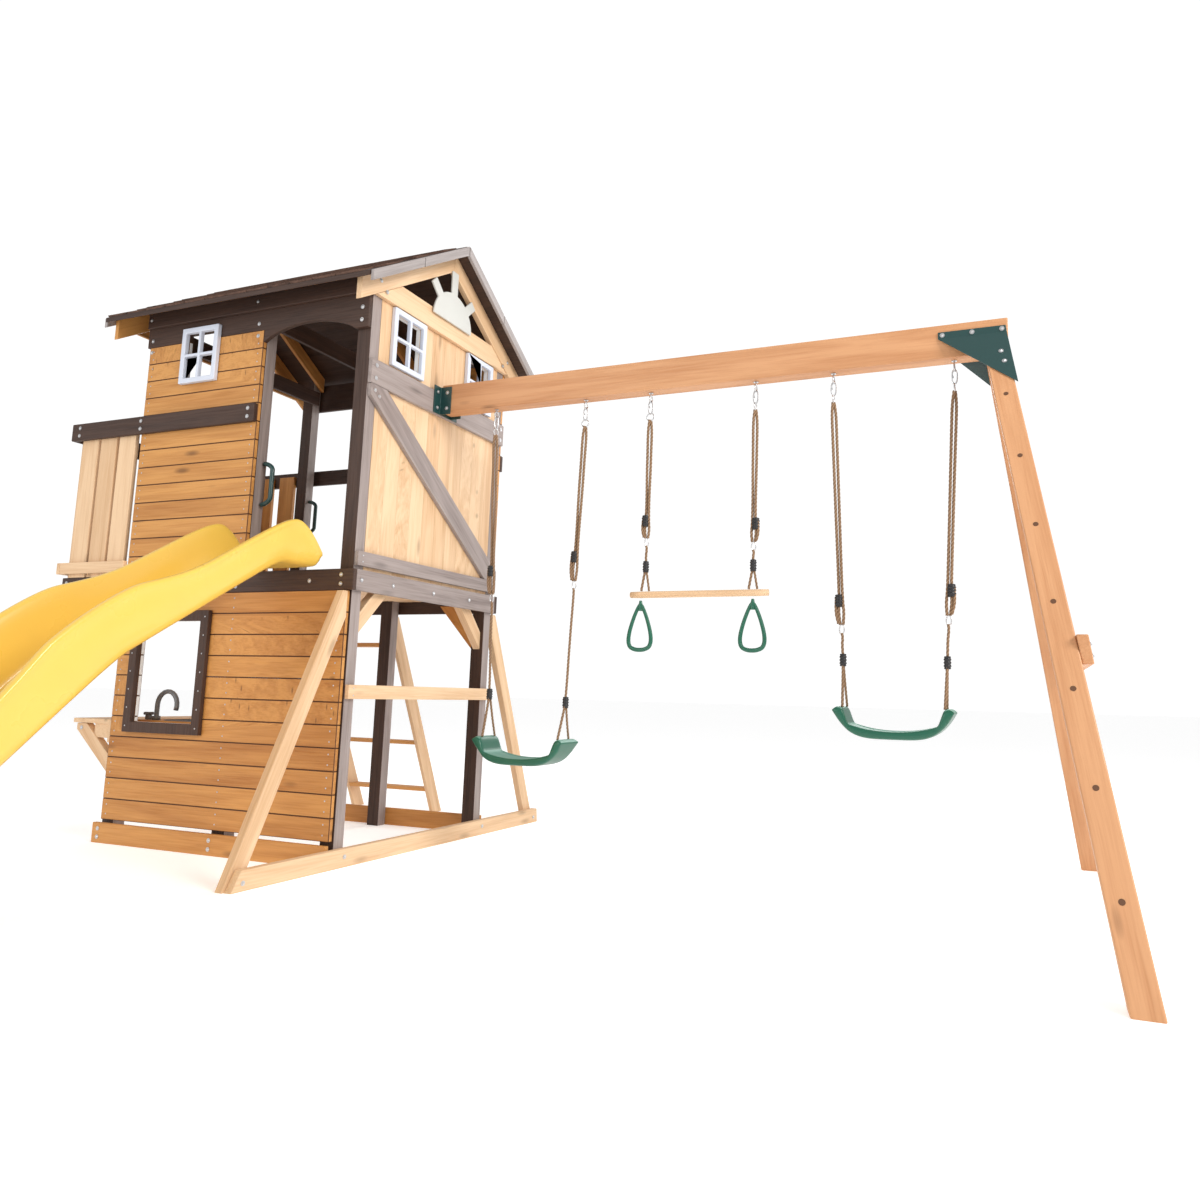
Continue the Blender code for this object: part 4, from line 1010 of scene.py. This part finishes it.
for x0 in (l_low.x, l_high.x - LADDER_T):
    lad_parts.append(tone_all(slanted("side", x0, x0 + LADDER_T, l_low.z, l_high.z, 0.0895, wood("light", ladder_run)),
                              0.3 + 0.3 * (x0 > l_low.x)))
for n in range(4):
    z = 0.130 + 0.287 * n
    lad_parts.append(tone_all(slanted("tread", l_low.x + LADDER_T + 0.0004, l_high.x - LADDER_T - 0.0004, z, z + 0.022,
                                      0.088, wood("cedar", X)), 0.2 * n))
settle(merge("ladder_boards", lad_parts), "frame", ["ladder"])
k_low, k_high = span("counter")
sink = (at(-1.160, 0.100, 0.0), at(-0.880, 0.280, 3.0))
top = row("counter_planks", k_low, k_high, 3, 1, 0.002, wood("cedar", X), 71, [sink])
settle(top, "frame", ["counter"])
bm = bmesh.new()
rings = []
for inset, z in ((0.0, 0.0), (0.0, -0.004), (0.012, -0.004), (0.012, -0.090), (0.030, -0.110)):
    loop = []
    for cx, cy, a0 in ((1, 1, 0), (-1, 1, 90), (-1, -1, 180), (1, -1, 270)):
        for k in range(5):
            a = radians(a0 + 90 * k / 4)
            hx = 0.150 - inset - 0.025
            hy = 0.100 - inset - 0.025
            loop.append(bm.verts.new(at(-1.020 + cx * hx + 0.025 * cos(a), 0.190 + cy * hy + 0.025 * sin(a),
                                        k_high.z + 0.0055 + z)))
    rings.append(loop)
for a, b in zip(rings, rings[1:]):
    for i in range(len(a)):
        j = (i + 1) % len(a)
        bm.faces.new((a[i], a[j], b[j], b[i]))
bm.faces.new(rings[-1])
bmesh.ops.recalc_face_normals(bm, faces=bm.faces)
basin = from_bmesh("sink_basin", bm, TAP_GREY)
m = basin.modifiers.new("wall", "SOLIDIFY")
m.thickness = 0.0022
m.offset = 0.0
bake(basin)
settle(basin, "frame")
tone_all(clean("shelf_end", "end_shelf", wood("light", Y), "frame", 0.003), 0.4)
s_low, s_high = span("shelf_end")
under_shelf = s_high.z - 0.024
wall_x = -1.392
out_x = s_low.x - FACE.x
bracket = outline_board("shelf_bracket", "Y", s_low.y - FACE.y + 0.006, s_low.y - FACE.y + 0.042,
                        [(out_x + 0.020, under_shelf), (out_x + 0.085, under_shelf), (wall_x, under_shelf - 0.150),
                         (wall_x, under_shelf - 0.235), (out_x + 0.020, under_shelf - 0.030)],
                        wood("light", (1, 0, -1.1)))
settle(tone_all(bracket, 0.55), "frame")
bolts.append((Vector((s_low.x + 0.055, s_low.y + 0.006, under_shelf - 0.022)), TO_FRONT))
TAP_X = -1.235
TAP_Y = 0.110
base_z = k_high.z + 0.0012
handle = []
for axis_, reach_, z_ in (("X", 0.028, 0.030), ("Y", 0.026, 0.030)):
    low_ = Vector((-reach_, -0.007, z_ - 0.007)) if axis_ == "X" else Vector((-0.007, -reach_, z_ - 0.007))
    high_ = Vector((reach_, 0.007, z_ + 0.007)) if axis_ == "X" else Vector((0.007, reach_, z_ + 0.007))
    spot = at(TAP_X - 0.052, TAP_Y, 0) + Vector((0, 0, base_z))
    handle.append(tone_all(beam("tap_cross", spot + low_, spot + high_, TAP_GREY, 0.004), 0.5))
spot = at(TAP_X - 0.052, TAP_Y, 0) + Vector((0, 0, base_z))
handle.append(tone_all(beam("tap_valve", spot + Vector((-0.012, -0.012, 0)), spot + Vector((0.012, 0.012, 0.024)),
                            TAP_GREY, 0.005), 0.5))
settle(merge("tap_handle", handle), "frame")
tap = clean("tap", "tap_spout", TAP_GREY, "tap_spout", 0.0, True)
print("counter height", round(k_high.z, 3))

# %% [markdown]
# The slide is one blow-moulded shell: a flat bed between tall side walls with rolled lips, and
# a swell halfway down. A section is drawn once and repeated down the run, its height following
# the same rule as the frame's slide, with enough sections that the swell looks smooth.

# %% Slide
SLIDE_W = 0.470
slide_low, slide_high = span("slide")
SX1 = slide_high.x
SX0 = slide_low.x
START_Y = slide_high.y
RUN = slide_high.y - slide_low.y
DECK = floor_high.z


def bed_height(d):
    over = max(0.0, d - 0.150)
    z = DECK + 0.012 - 0.660 * (over - 0.05 * (1 - 2.71828 ** (-over / 0.05)))
    past = max(0.0, d - 0.820)
    z -= 0.370 * (past - 0.05 * (1 - 2.71828 ** (-past / 0.05)))
    level = (z - 0.130) / 0.085
    if level < 4:
        z = 0.130 + 0.085 * log(1 + 2.71828 ** level) if level > -30 else 0.130
    return z


def wall_rise(d):
    grown = min(1.0, max(0.0, (d - 0.55) / 0.58))
    rise = 0.170 + 0.125 * grown * grown * (3 - 2 * grown)
    if d < 0.17:
        rise *= 0.14 + 0.86 * sin(pi / 2 * d / 0.17)
    if d > 1.13:
        rise *= max(0.42, 1 - (d - 1.13) * 1.2)
    return rise


def slide_section(d):
    """Half a section from the middle of the bed out over the lip and back under."""
    z = bed_height(d)
    r = wall_rise(d) + 0.005
    half = (SX1 - SX0) / 2
    crease = 0.004 * sin(d * 9.0) * min(1.0, d / 0.3)
    pts = [(0.0, z + 0.001), (half - 0.120, z + 0.001), (half - 0.092, z + 0.004),
           (half - 0.072, z + min(0.016, r * 0.2)), (half - 0.062, z + min(0.040, r * 0.4)),
           (half - 0.052 + crease, z + r * 0.60), (half - 0.040, z + r * 0.90), (half - 0.034, z + r * 0.975),
           (half - 0.024, z + r), (half - 0.008, z + r * 0.995), (half - 0.001, z + r * 0.975),
           (half - 0.001, z + r * 0.90), (half - 0.010, z + r * 0.86), (half - 0.016 + crease, z + r * 0.45),
           (half - 0.036, z - 0.004), (half - 0.060, z - 0.0095), (0.0, z - 0.0095)]
    return pts


bm = bmesh.new()
STEPS = 110
loops = []
centre_x = (SX0 + SX1) / 2
for i in range(STEPS + 1):
    d = RUN * i / STEPS
    half_pts = slide_section(d)
    right_side = [(x, z) for x, z in half_pts]
    left_side = [(-x, z) for x, z in reversed(half_pts[1:-1])]
    loops.append([bm.verts.new((centre_x + x, START_Y - d, z)) for x, z in right_side + left_side])
for a, b in zip(loops, loops[1:]):
    for i in range(len(a)):
        j = (i + 1) % len(a)
        bm.faces.new((a[i], a[j], b[j], b[i]))
bm.faces.new(loops[0])
bm.faces.new(list(reversed(loops[-1])))
bmesh.ops.recalc_face_normals(bm, faces=bm.faces)
slide = from_bmesh("slide_shell", bm, YELLOW, True)
m = slide.modifiers.new("round", "SUBSURF")
m.levels = 1
m.render_levels = 1
bake(slide)
settle(slide, "frame", ["slide"])
print("slide run", round(RUN, 3), "faces", len(slide.data.polygons))

# %% [markdown]
# The swing frame is a heavy beam bolted to the tower at one end and to a leaning A-frame at
# the other. Steel gussets painted green join the legs and the beam, and an angle bracket holds
# the beam's other end to the tower.

# %% Swing frame
bs_low, bs_high = span("beam_swing")
tone_all(clean("beam_swing", "swing_beam", wood("tan", X), "frame", 0.004), 0.35)
for tag in ("front", "rear"):
    n_low, n_high = span("leg_" + tag)
    sgn = -1 if tag == "front" else 1
    run = Vector((0.338, sgn * 1.04, -2.12))
    tone_all(clean("leg_" + tag, "leg_" + tag + "_timber", wood("tan", run), "frame", 0.004),
             0.4 + 0.2 * sgn)
LEG_PLUGS, PLUG_TOP, PLUG_PITCH = 7, 1.90, 0.275
plugs = []
for k in range(LEG_PLUGS):
    z = PLUG_TOP - k * PLUG_PITCH
    foot_x = bs_high.x - 0.045 + 0.338 * (2.118 - z) / 2.118
    out_y = 0.0402 + 0.4752 * (2.199 - z)
    plugs.append((Vector((foot_x, FACE.y + HALF - out_y, z)), tuple(Vector((0, -1, 0.475)).normalized())))
tone_all(clean("crossbar", "crossbar_timber", wood("tan", Y), "frame", 0.003), 0.5)
for tag, sgn, way in (("front", -1, TO_FRONT), ("rear", 1, TO_REAR)):
    clean("gusset_" + tag, "gusset_" + tag + "_plate", GREEN_STEEL, "frame", 0.0012)
    y = FACE.y + HALF + sgn * 0.0446
    for dx in (-0.248, -0.134, -0.022):
        bolts.append((Vector((bs_high.x + dx, y, bs_high.z - 0.046)), way))
    lean_way = Vector((0, sgn, 0.475)).normalized()
    for dx, dz in ((-0.026, 0.155), (-0.014, 0.205)):
        out_y = 0.0446 + (dz - 0.060) * 0.475
        bolts.append((Vector((bs_high.x + dx, FACE.y + HALF + sgn * out_y, bs_high.z - dz)), tuple(lean_way)))
clean("bracket_beam", "beam_bracket", GREEN_STEEL, "frame", 0.0012)
br_low, br_high = span("bracket_beam")
mid_y = (br_low.y + br_high.y) / 2
for sgn in (-1, 1):
    edge = br_low.y if sgn < 0 else br_high.y
    for z in (br_low.z + 0.030, br_high.z - 0.030):
        bolts.append((Vector((br_low.x + 0.006, edge - sgn * 0.026, z)), TO_SWING))
        ear = mid_y + sgn * (0.0406 + 0.005)
        bolts.append((Vector((br_high.x - 0.022, ear, z)), (0, sgn, 0)))
x_low, x_high = span("crossbar")
for sgn in (-1, 1):
    end = x_low.y + 0.07 if sgn < 0 else x_high.y - 0.07
    for dz in (-0.018, 0.018):
        bolts.append((Vector((x_high.x - 0.004 - dz * 0.15, end, (x_low.z + x_high.z) / 2 + dz)), TO_SWING))
print("beam ends at x", round(bs_high.x, 3))

# %% [markdown]
# Two curved grips help a child off the ladder. Each is a bent round bar whose ends meet the post,
# where it is screwed on; the section stays round and even along the arc.


# %% Round bars
def carry(points):
    """Frames along a path that don't twist about it."""
    frames = []
    ref = None
    for i, p in enumerate(points):
        a = points[max(i - 1, 0)]
        b = points[min(i + 1, len(points) - 1)]
        d = (b - a).normalized()
        if ref is None:
            ref = d.orthogonal().normalized()
        ref = (ref - d * ref.dot(d)).normalized()
        frames.append((p, ref.copy(), d.cross(ref)))
    return frames


def bar(name, points, radii, mat, sides=14, closed=False):
    """A round bar through the points, capped unless it is a closed loop."""
    bm = bmesh.new()
    pts = [Vector(p) for p in points]
    if closed:
        middle = sum(pts, Vector()) / len(pts)
        normal = (pts[0] - middle).cross(pts[len(pts) // 4] - middle).normalized()
    frames = carry(pts)
    rows_ = []
    n = len(pts)
    for i, (p, u, v) in enumerate(frames):
        if closed:
            d = (pts[(i + 1) % n] - pts[i - 1]).normalized()
            u = normal
            v = d.cross(u).normalized()
        r = radii[i] if isinstance(radii, (list, tuple)) else radii
        rows_.append([bm.verts.new(p + (u * cos(2 * pi * s / sides) + v * sin(2 * pi * s / sides)) * r)
                      for s in range(sides)])
    pairs = list(zip(rows_, rows_[1:]))
    if closed:
        pairs.append((rows_[-1], rows_[0]))
    for a, b in pairs:
        for s in range(sides):
            t = (s + 1) % sides
            bm.faces.new((a[s], a[t], b[t], b[s]))
    if not closed:
        bm.faces.new(rows_[0])
        bm.faces.new(list(reversed(rows_[-1])))
    bmesh.ops.recalc_face_normals(bm, faces=bm.faces)
    return from_bmesh(name, bm, mat, True)


def ring_points(centre, radius, axis, count=28, stretch=1.0):
    """A loop of points round a centre; stretch lengthens it upright."""
    out = []
    for i in range(count):
        t = 2 * pi * i / count
        flat = radius * cos(t)
        z = radius * sin(t) * stretch
        off = Vector((0, flat, z)) if axis == "X" else Vector((flat, 0, z))
        out.append(Vector(centre) + off)
    return out


for name, x, y, z0, z1, way in (("grab_handle_near", -0.6125, 0.040, 1.588, 1.784, 1),
                                ("grab_handle_far", -1.3125, TOWER_WIDE - 0.030, 1.665, 1.856, 1)):
    pts = []
    for i in range(21):
        t = i / 20
        reach_out = 0.052 * min(1.0, sin(pi * t) * 1.5)
        pts.append(at(x + 0.006 + way * reach_out, y, z0 + (z1 - z0) * (0.5 - 0.5 * cos(pi * t))))
    settle(bar(name, pts, 0.0105, GREEN_STEEL), "frame")
print("grips placed")

# %% [markdown]
# Each swing hangs from an eye bolt, a snap hook and a ring. They are separate steel loops
# that touch, so each is a bar bent into its own closed shape: a round eye on a shank, a long
# narrow snap, and a round ring below it.

# %% Hangers
HANGERS = []
for swing, body in (("left", "swing_left"), ("trapeze", "trapeze"), ("right", "swing_right")):
    for tag in "ab":
        HANGERS.append((swing, tag, body))
under_beam = bs_low.z
hang_points = {}
for swing, tag, body in HANGERS:
    e_low, e_high = span("eye_" + swing + "_" + tag)
    x = (e_low.x + e_high.x) / 2
    y = (e_low.y + e_high.y) / 2
    wire = 0.0032
    eye_r = 0.0165
    eye_c = Vector((x, y, e_low.z + eye_r + wire))
    eye_mesh = bar("eye_loop", ring_points(eye_c, eye_r, "X"), wire, ZINC, 10, True)
    shank = bar("eye_shank", [(x, y, eye_c.z + eye_r), (x, y, under_beam - 0.0008)], 0.0042, ZINC, 12)
    washer = bar("eye_washer", [(x, y, under_beam - 0.0030), (x, y, under_beam - 0.0008)], 0.0110, ZINC, 16)
    settle(merge("eye_bolt_" + swing + "_" + tag, [eye_mesh, shank, washer]), "frame",
           ["eye_" + swing + "_" + tag])
    top_z = eye_c.z - eye_r + wire
    snap_half = 0.034
    snap_c = Vector((x, y, top_z + 2 * wire - snap_half + 0.0002))
    snap = bar("snap", ring_points(snap_c, 0.0105, "Y", 32, (snap_half - wire) / 0.0105), wire, ZINC, 10, True)
    gate = bar("gate", [snap_c + Vector((-0.004, 0, -0.004)), snap_c + Vector((-0.0105, 0, 0.016))], 0.0022, ZINC, 8)
    ring_r = 0.0175
    face = "Y" if (swing, tag) in (("left", "b"), ("trapeze", "a")) else "X"
    ring_c = Vector((x, y, snap_c.z - snap_half + wire * 2 - ring_r + 0.0004))
    loop = bar("loop", ring_points(ring_c, ring_r, face), 0.0028, ZINC, 10, True)
    settle(merge("snap_hook_" + swing + "_" + tag, [snap, gate, loop]), body)
    hang_points[swing + tag] = Vector((x, y, ring_c.z - ring_r))
print({k: round(v.z, 3) for k, v in hang_points.items()})

# %% [markdown]
# The rope is laid from three strands, so its outline is a soft trefoil that turns as it goes.
# Each length is a mesh tube round its own centreline. The trefoil's grooves get a darker tone as painted shade,
# which reads as twist even where the rope is seen from a distance.

# %% Rope
ROPE_R = 0.0068
LAY = 0.052


def rope_line(points, step=0.006):
    """Evenly spaced points along a polyline."""
    pts = [Vector(p) for p in points]
    out = [pts[0]]
    for a, b in zip(pts, pts[1:]):
        n = max(1, int((b - a).length / step + 0.5))
        for i in range(1, n + 1):
            out.append(a.lerp(b, i / n))
    return out


def bend(points, rounds=2):
    """Corner cutting, ends kept, so that a route curves."""
    pts = [Vector(p) for p in points]
    for _ in range(rounds):
        new = [pts[0]]
        for a, b in zip(pts, pts[1:]):
            new += [a.lerp(b, 0.25), a.lerp(b, 0.75)]
        new.append(pts[-1])
        pts = new
    return pts


def rope(name, points, body, radius=ROPE_R):
    line_ = rope_line(bend(points))
    bm = bmesh.new()
    groove_shade_tones = []
    run = 0.0
    rows_ = []
    sides = 12
    for i, (p, u, v) in enumerate(carry(line_)):
        if i:
            run += (p - line_[i - 1]).length
        twist = 2 * pi * run / LAY
        ring_ = []
        for s in range(sides):
            a = 2 * pi * s / sides
            lobe = cos(3 * (a - twist))
            ring_.append(bm.verts.new(p + (u * cos(a) + v * sin(a)) * radius * (0.87 + 0.13 * lobe)))
            # Grooves between the strands get a high tone, which the rope material turns darker: painted shade.
            groove_shade_tones.append(0.75 - 0.6 * max(0.0, lobe))
        rows_.append(ring_)
    for a, b in zip(rows_, rows_[1:]):
        for s in range(sides):
            t = (s + 1) % sides
            bm.faces.new((a[s], a[t], b[t], b[s]))
    bm.faces.new(rows_[0])
    bm.faces.new(list(reversed(rows_[-1])))
    bmesh.ops.recalc_face_normals(bm, faces=bm.faces)
    ob = from_bmesh(name, bm, ROPE, True)
    ob.data.attributes.new("tone", "FLOAT", "POINT").data.foreach_set("value", groove_shade_tones)
    settle(ob, body)
    return ob


def sleeve(name, centre, body, height=0.046, radius=0.0125):
    """A ribbed clamp pressed round the rope."""
    pts = []
    rad = []
    for i in range(17):
        t = i / 16
        pts.append(Vector(centre) + Vector((0, 0, height * (0.5 - t))))
        edge = 0.75 if i in (0, 16) else 1.0
        rad.append(radius * edge * (1.0 + 0.13 * cos(2 * pi * t * 4)))
    return settle(bar(name, pts, rad, BLACK, 18), body)


DOUBLE = {"lefta": 1.318, "leftb": 1.372, "trapezea": 1.523, "trapezeb": 1.487, "righta": 1.150, "rightb": 1.184}
SINGLE = {"lefta": 0.735, "leftb": 0.706, "trapezea": 1.315, "trapezeb": 1.307, "righta": 0.909, "rightb": 0.902}
TAIL = {"left": 0.112, "trapeze": 0.078, "right": 0.098}
for swing, tag, body in HANGERS:
    key = swing + tag
    topp = hang_points[key]
    x, y = topp.x, topp.y
    end_z = span("rope_" + swing + "_" + tag)[0].z
    lean_in = 0.0 if swing == "trapeze" else (0.049 if tag == "a" else -0.049)

    def drift(z):
        """How far the rope has leaned in by height z."""
        return lean_in * (topp.z - z) / (topp.z - end_z)

    up_z = DOUBLE[key]
    low_z2 = SINGLE[key]
    hook_z = up_z - TAIL[swing]
    spread = 0.0085
    for n, sgn in enumerate((-1, 1)):
        route = [(0.002 * sgn, 0.004 * sgn, topp.z + 0.004), (spread * sgn, 0.003 * sgn, topp.z - 0.05),
                 (spread * sgn, 0.0, topp.z - 0.16), (0.0070 * sgn, 0.004 * sgn, (topp.z + up_z) / 2),
                 (0.0070 * sgn, -0.003 * sgn, up_z + 0.10), (0.0072 * sgn, 0.0, up_z),
                 (0.0110 * sgn, 0.0, (up_z + hook_z) / 2), (0.0060 * sgn, 0.0, hook_z)]
        rope("rope_%s_%s_fall_%d" % (swing, tag, n + 1), [(x + dx + drift(z), y + dy, z) for dx, dy, z in route], body)
    loop_side = -1 if tag == "a" or swing == "left" else 1
    tail = [(0.018 * loop_side, -0.003, up_z + 0.016), (0.022 * loop_side, -0.004, (up_z + hook_z) / 2),
            (0.012 * loop_side, -0.004, hook_z + 0.004)]
    rope("rope_%s_%s_tail" % (swing, tag), [(x + dx + drift(z), y + dy, z) for dx, dy, z in tail], body)
    sleeve("sleeve_%s_%s_upper" % (swing, tag), (x + 0.008 * loop_side + drift(up_z), y, up_z), body, 0.050, 0.0165)
    shackle = ring_points(Vector((x + drift(hook_z), y, hook_z - 0.020)), 0.0095, "Y", 28, 2.1)
    settle(bar("hook_%s_%s" % (swing, tag), shackle, 0.0026, ZINC, 10, True), body)
    for n, sgn in enumerate((-1, 1)):
        if swing == "trapeze":
            foot = (0.019 * sgn, 0.0, end_z + 0.001)
            mid_pt = (0.010 * sgn, 0.0, (low_z2 + end_z) / 2)
        else:
            foot = (0.0, 0.052 * sgn, end_z - 0.004)
            mid_pt = (0.0, 0.024 * sgn, (low_z2 + end_z) / 2)
        if n == 0:
            route = [(0.0, 0.0, hook_z - 0.034), (0.002, 0.0, hook_z - 0.06), (-0.001, 0.0, (hook_z + low_z2) / 2),
                     (0.0, 0.0, low_z2), mid_pt, foot]
        else:
            route = [(0.0, 0.0 if swing == "trapeze" else 0.003, low_z2 + 0.004), mid_pt, foot]
        rope("rope_%s_%s_lower_%d" % (swing, tag, n + 1), [(x + dx + drift(z), y + dy, z) for dx, dy, z in route],
             body, 0.0062 if n == 0 else 0.0055)
    sleeve("sleeve_%s_%s_lower" % (swing, tag), (x + drift(low_z2), y, low_z2), body, 0.050, 0.0135)
    stand_in = bpy.data.objects["rope_%s_%s_fall_1" % (swing, tag)]
    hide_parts("rope_" + swing + "_" + tag)
print("ropes made", 4 * len(HANGERS))

# %% [markdown]
# The seats are moulded planks that sag in the middle and curl up over the ropes at their ends.
# One section across the seat, with rounded edges and shallow grip ribs along the middle, is
# carried along the sagging line.

# %% Seats
def ramp(t):
    t = min(1.0, max(0.0, t))
    return t * t * (3 - 2 * t)


def seat_under(u):
    return 0.105 * abs(u) ** 4.2


def seat_over(u):
    roll = 0.052 * ramp((abs(u) - 0.72) / 0.13) - 0.023 * max(0.0, (abs(u) - 0.88) / 0.12) ** 2
    return 0.034 + 0.050 * abs(u) ** 2.2 + roll


def plank_seat(name, node, body):
    """A channel with a rounded front and back edge; its top dips between two long lips."""
    low, high = span(node)
    mid = (low + high) / 2
    half_len = (high.x - low.x) / 2 - 0.0008
    half_dep = (high.y - low.y) / 2 - 0.0005
    bm = bmesh.new()
    rows_ = []
    n = 110
    across = 44
    for i in range(n + 1):
        u = -cos(pi * i / n)
        x = mid.x + u * half_len
        top_z = low.z + seat_over(u) - 0.0006
        under_z = low.z + seat_under(u) + 0.0006
        middle = 1.0 - ramp((abs(u) - 0.66) / 0.10)
        loop = []
        for k in range(across + 1):
            s_ = -cos(pi * k / across)
            flat = 1.0 - ramp((abs(s_) - 0.74) / 0.10)
            rib = 0.0011 * cos(2 * pi * s_ * 8) * flat * middle
            dish = -0.0055 * flat * middle
            edge = (top_z - under_z) * 0.22 * (abs(s_) ** 14)
            loop.append((x, mid.y + s_ * half_dep, top_z + rib + dish - edge))
        for k in range(across, -1, -1):
            s_ = -cos(pi * k / across)
            edge = (top_z - under_z) * 0.22 * (abs(s_) ** 14)
            loop.append((x, mid.y + s_ * half_dep, under_z + edge))
        rows_.append([bm.verts.new(p) for p in loop])
    for a, b in zip(rows_, rows_[1:]):
        for k in range(len(a)):
            j = (k + 1) % len(a)
            bm.faces.new((a[k], a[j], b[j], b[k]))
    bm.faces.new(rows_[0])
    bm.faces.new(list(reversed(rows_[-1])))
    bmesh.ops.recalc_face_normals(bm, faces=bm.faces)
    seat = from_bmesh(name, bm, GREEN, True)
    # Upward-facing top faces get the paler green: painted sheen.
    seat.data.materials.append(SEAT_SHEEN_GREEN)
    for p in seat.data.polygons:
        if len(p.vertices) > 4:
            p.use_smooth = False
        if p.normal.z > 0.55 and abs(p.center.y - mid.y) < half_dep * 0.93:
            p.material_index = 1
    return settle(seat, body, [node])


plank_seat("plank_seat_left", "seat_left", "swing_left")
plank_seat("plank_seat_right", "seat_right", "swing_right")
print("seats made")

# %% [markdown]
# The trapeze is a turned bar with a green grip hanging from each end. A grip is a rounded
# triangle of moulded plastic with a heavy foot, so an even bar is bent round it and thickened
# towards the bottom where the hand goes.

# %% Trapeze
t_low, t_high = span("bar_trapeze")
bar_c = (t_low + t_high) / 2
bar_r = (t_high.z - t_low.z) / 2
pts = []
rad = []
for i in range(15):
    t = i / 14
    pts.append((t_low.x + 0.0005 + (t_high.x - t_low.x - 0.001) * t, bar_c.y, bar_c.z))
    rad.append(bar_r * 0.93 if i in (0, 14) else bar_r * 0.995)
dowel = bar("trapeze_bar", pts, rad, wood("light", X), 28)
tone_all(dowel, 0.35)
settle(dowel, "trapeze", ["bar_trapeze"])
for tag in "ab":
    n_low, n_high = span("ring_" + tag)
    c = (n_low + n_high) / 2
    half_w = (n_high.x - n_low.x) / 2
    high_z = n_high.z
    tall = n_high.z - n_low.z
    corners = [Vector((c.x + half_w * 0.10, c.y, high_z - 0.022)), Vector((c.x + half_w * 0.55, c.y, high_z - tall * 0.40)),
               Vector((c.x + half_w * 0.84, c.y, high_z - tall * 0.72)), Vector((c.x + half_w * 0.76, c.y, high_z - tall * 0.90)),
               Vector((c.x + half_w * 0.36, c.y, n_low.z + 0.010)), Vector((c.x, c.y, n_low.z + 0.008))]
    outline = corners + [Vector((2 * c.x - p.x, p.y, p.z)) for p in reversed(corners[:-1])]
    smooth_pts = outline
    for _ in range(2):
        new = []
        for a, b in zip(smooth_pts, smooth_pts[1:] + smooth_pts[:1]):
            new += [a.lerp(b, 0.25), a.lerp(b, 0.75)]
        smooth_pts = new
    radii = []
    for p in smooth_pts:
        t = (high_z - p.z) / tall
        radii.append(0.0075 + 0.0020 * t)
    grip = bar("grip_body", smooth_pts, radii, GREEN, 16, True)
    neck = bar("grip_neck", [(c.x, c.y, high_z - 0.004), (c.x, c.y, high_z - 0.018), (c.x, c.y, high_z - 0.050)],
               [0.0060, 0.0085, 0.0105], GREEN, 14)
    settle(merge("grip_" + tag, [grip, neck]), "grip_" + tag, ["ring_" + tag])
print("grips", round(tall, 3))

# %% [markdown]
# All the fixings were noted as the boards were laid. Coach bolts and siding screws are zinc,
# and the legs have small brown plugs. Each kind becomes one piece from the fixings tree.

# %% Bolts and screws
fixings("coach_bolts", bolts, ZINC, "frame", 0.0062, 0.0098, 0.0036)
fixings("siding_screws", screws, ZINC, "frame", 0.0026, 0.0036, 0.0014)
fixings("leg_plugs", plugs, KNOT, "frame", 0.0010, 0.0090, 0.0010)
print("bolts", len(bolts), "screws", len(screws))

# %% [markdown]
# The whole set stands on a plain pale floor under broad soft lights, so that every edge reads
# without a hard shadow. The main light comes from the swing side, which leaves the slide side
# in gentle shade.

# %% Floor and light
mesh = bpy.data.meshes.new("floor")
mesh.from_pydata([(-90, -90, 0), (90, -90, 0), (90, 90, 0), (-90, 90, 0)], [], [(0, 1, 2, 3)])
floor_s = Shade("floor_white")
grain = floor_s.node("ShaderNodeTexNoise", {}, {"Vector": floor_s.node("ShaderNodeTexCoord", {}, {}, 3), "Scale": 0.8})
floor_s.set(Base_Color=floor_s.mix(grain * 0.1, (0.93, 0.93, 0.93), (0.90, 0.90, 0.90)), Roughness=0.9)
floor_s.skin.inputs["Emission Color"].default_value = (1.0, 1.0, 1.0, 1.0)
floor_s.skin.inputs["Emission Strength"].default_value = 0.36
mesh.materials.append(floor_s.mat)
ground = bpy.data.objects.new("floor", mesh)
bpy.context.scene.collection.objects.link(ground)
world = bpy.data.worlds.new("studio")
world.use_nodes = True
sky = world.node_tree.nodes["Background"]
sky.inputs[0].default_value = (1.0, 1.0, 1.0, 1.0)
seen = world.node_tree.nodes.new("ShaderNodeLightPath")
level = world.node_tree.nodes.new("ShaderNodeMapRange")
level.inputs["To Min"].default_value = 0.66
level.inputs["To Max"].default_value = 1.05
world.node_tree.links.new(seen.outputs["Is Camera Ray"], level.inputs["Value"])
world.node_tree.links.new(level.outputs[0], sky.inputs[1])
bpy.context.scene.world = world


def lamp(name, place_, target, size, power, tint=(1, 1, 1)):
    data = bpy.data.lights.new(name, "AREA")
    data.shape = "DISK"
    data.size = size
    data.energy = power
    data.color = tint
    ob = bpy.data.objects.new(name, data)
    ob.location = place_
    ob.rotation_euler = (Vector(target) - Vector(place_)).to_track_quat("-Z", "Y").to_euler()
    bpy.context.scene.collection.objects.link(ob)


lamp("key", (6.5, -1.5, 4.6), (-0.6, 0.0, 1.3), 3.0, 360, (1.0, 0.98, 0.95))
lamp("fill", (-3.0, -6.0, 3.5), (-0.5, 0.0, 1.2), 4.0, 110)
lamp("back", (1.0, 7.0, 4.5), (0.0, 0.0, 1.2), 4.0, 170)
bpy.context.scene.view_settings.view_transform = "Standard"
print("lights 3")
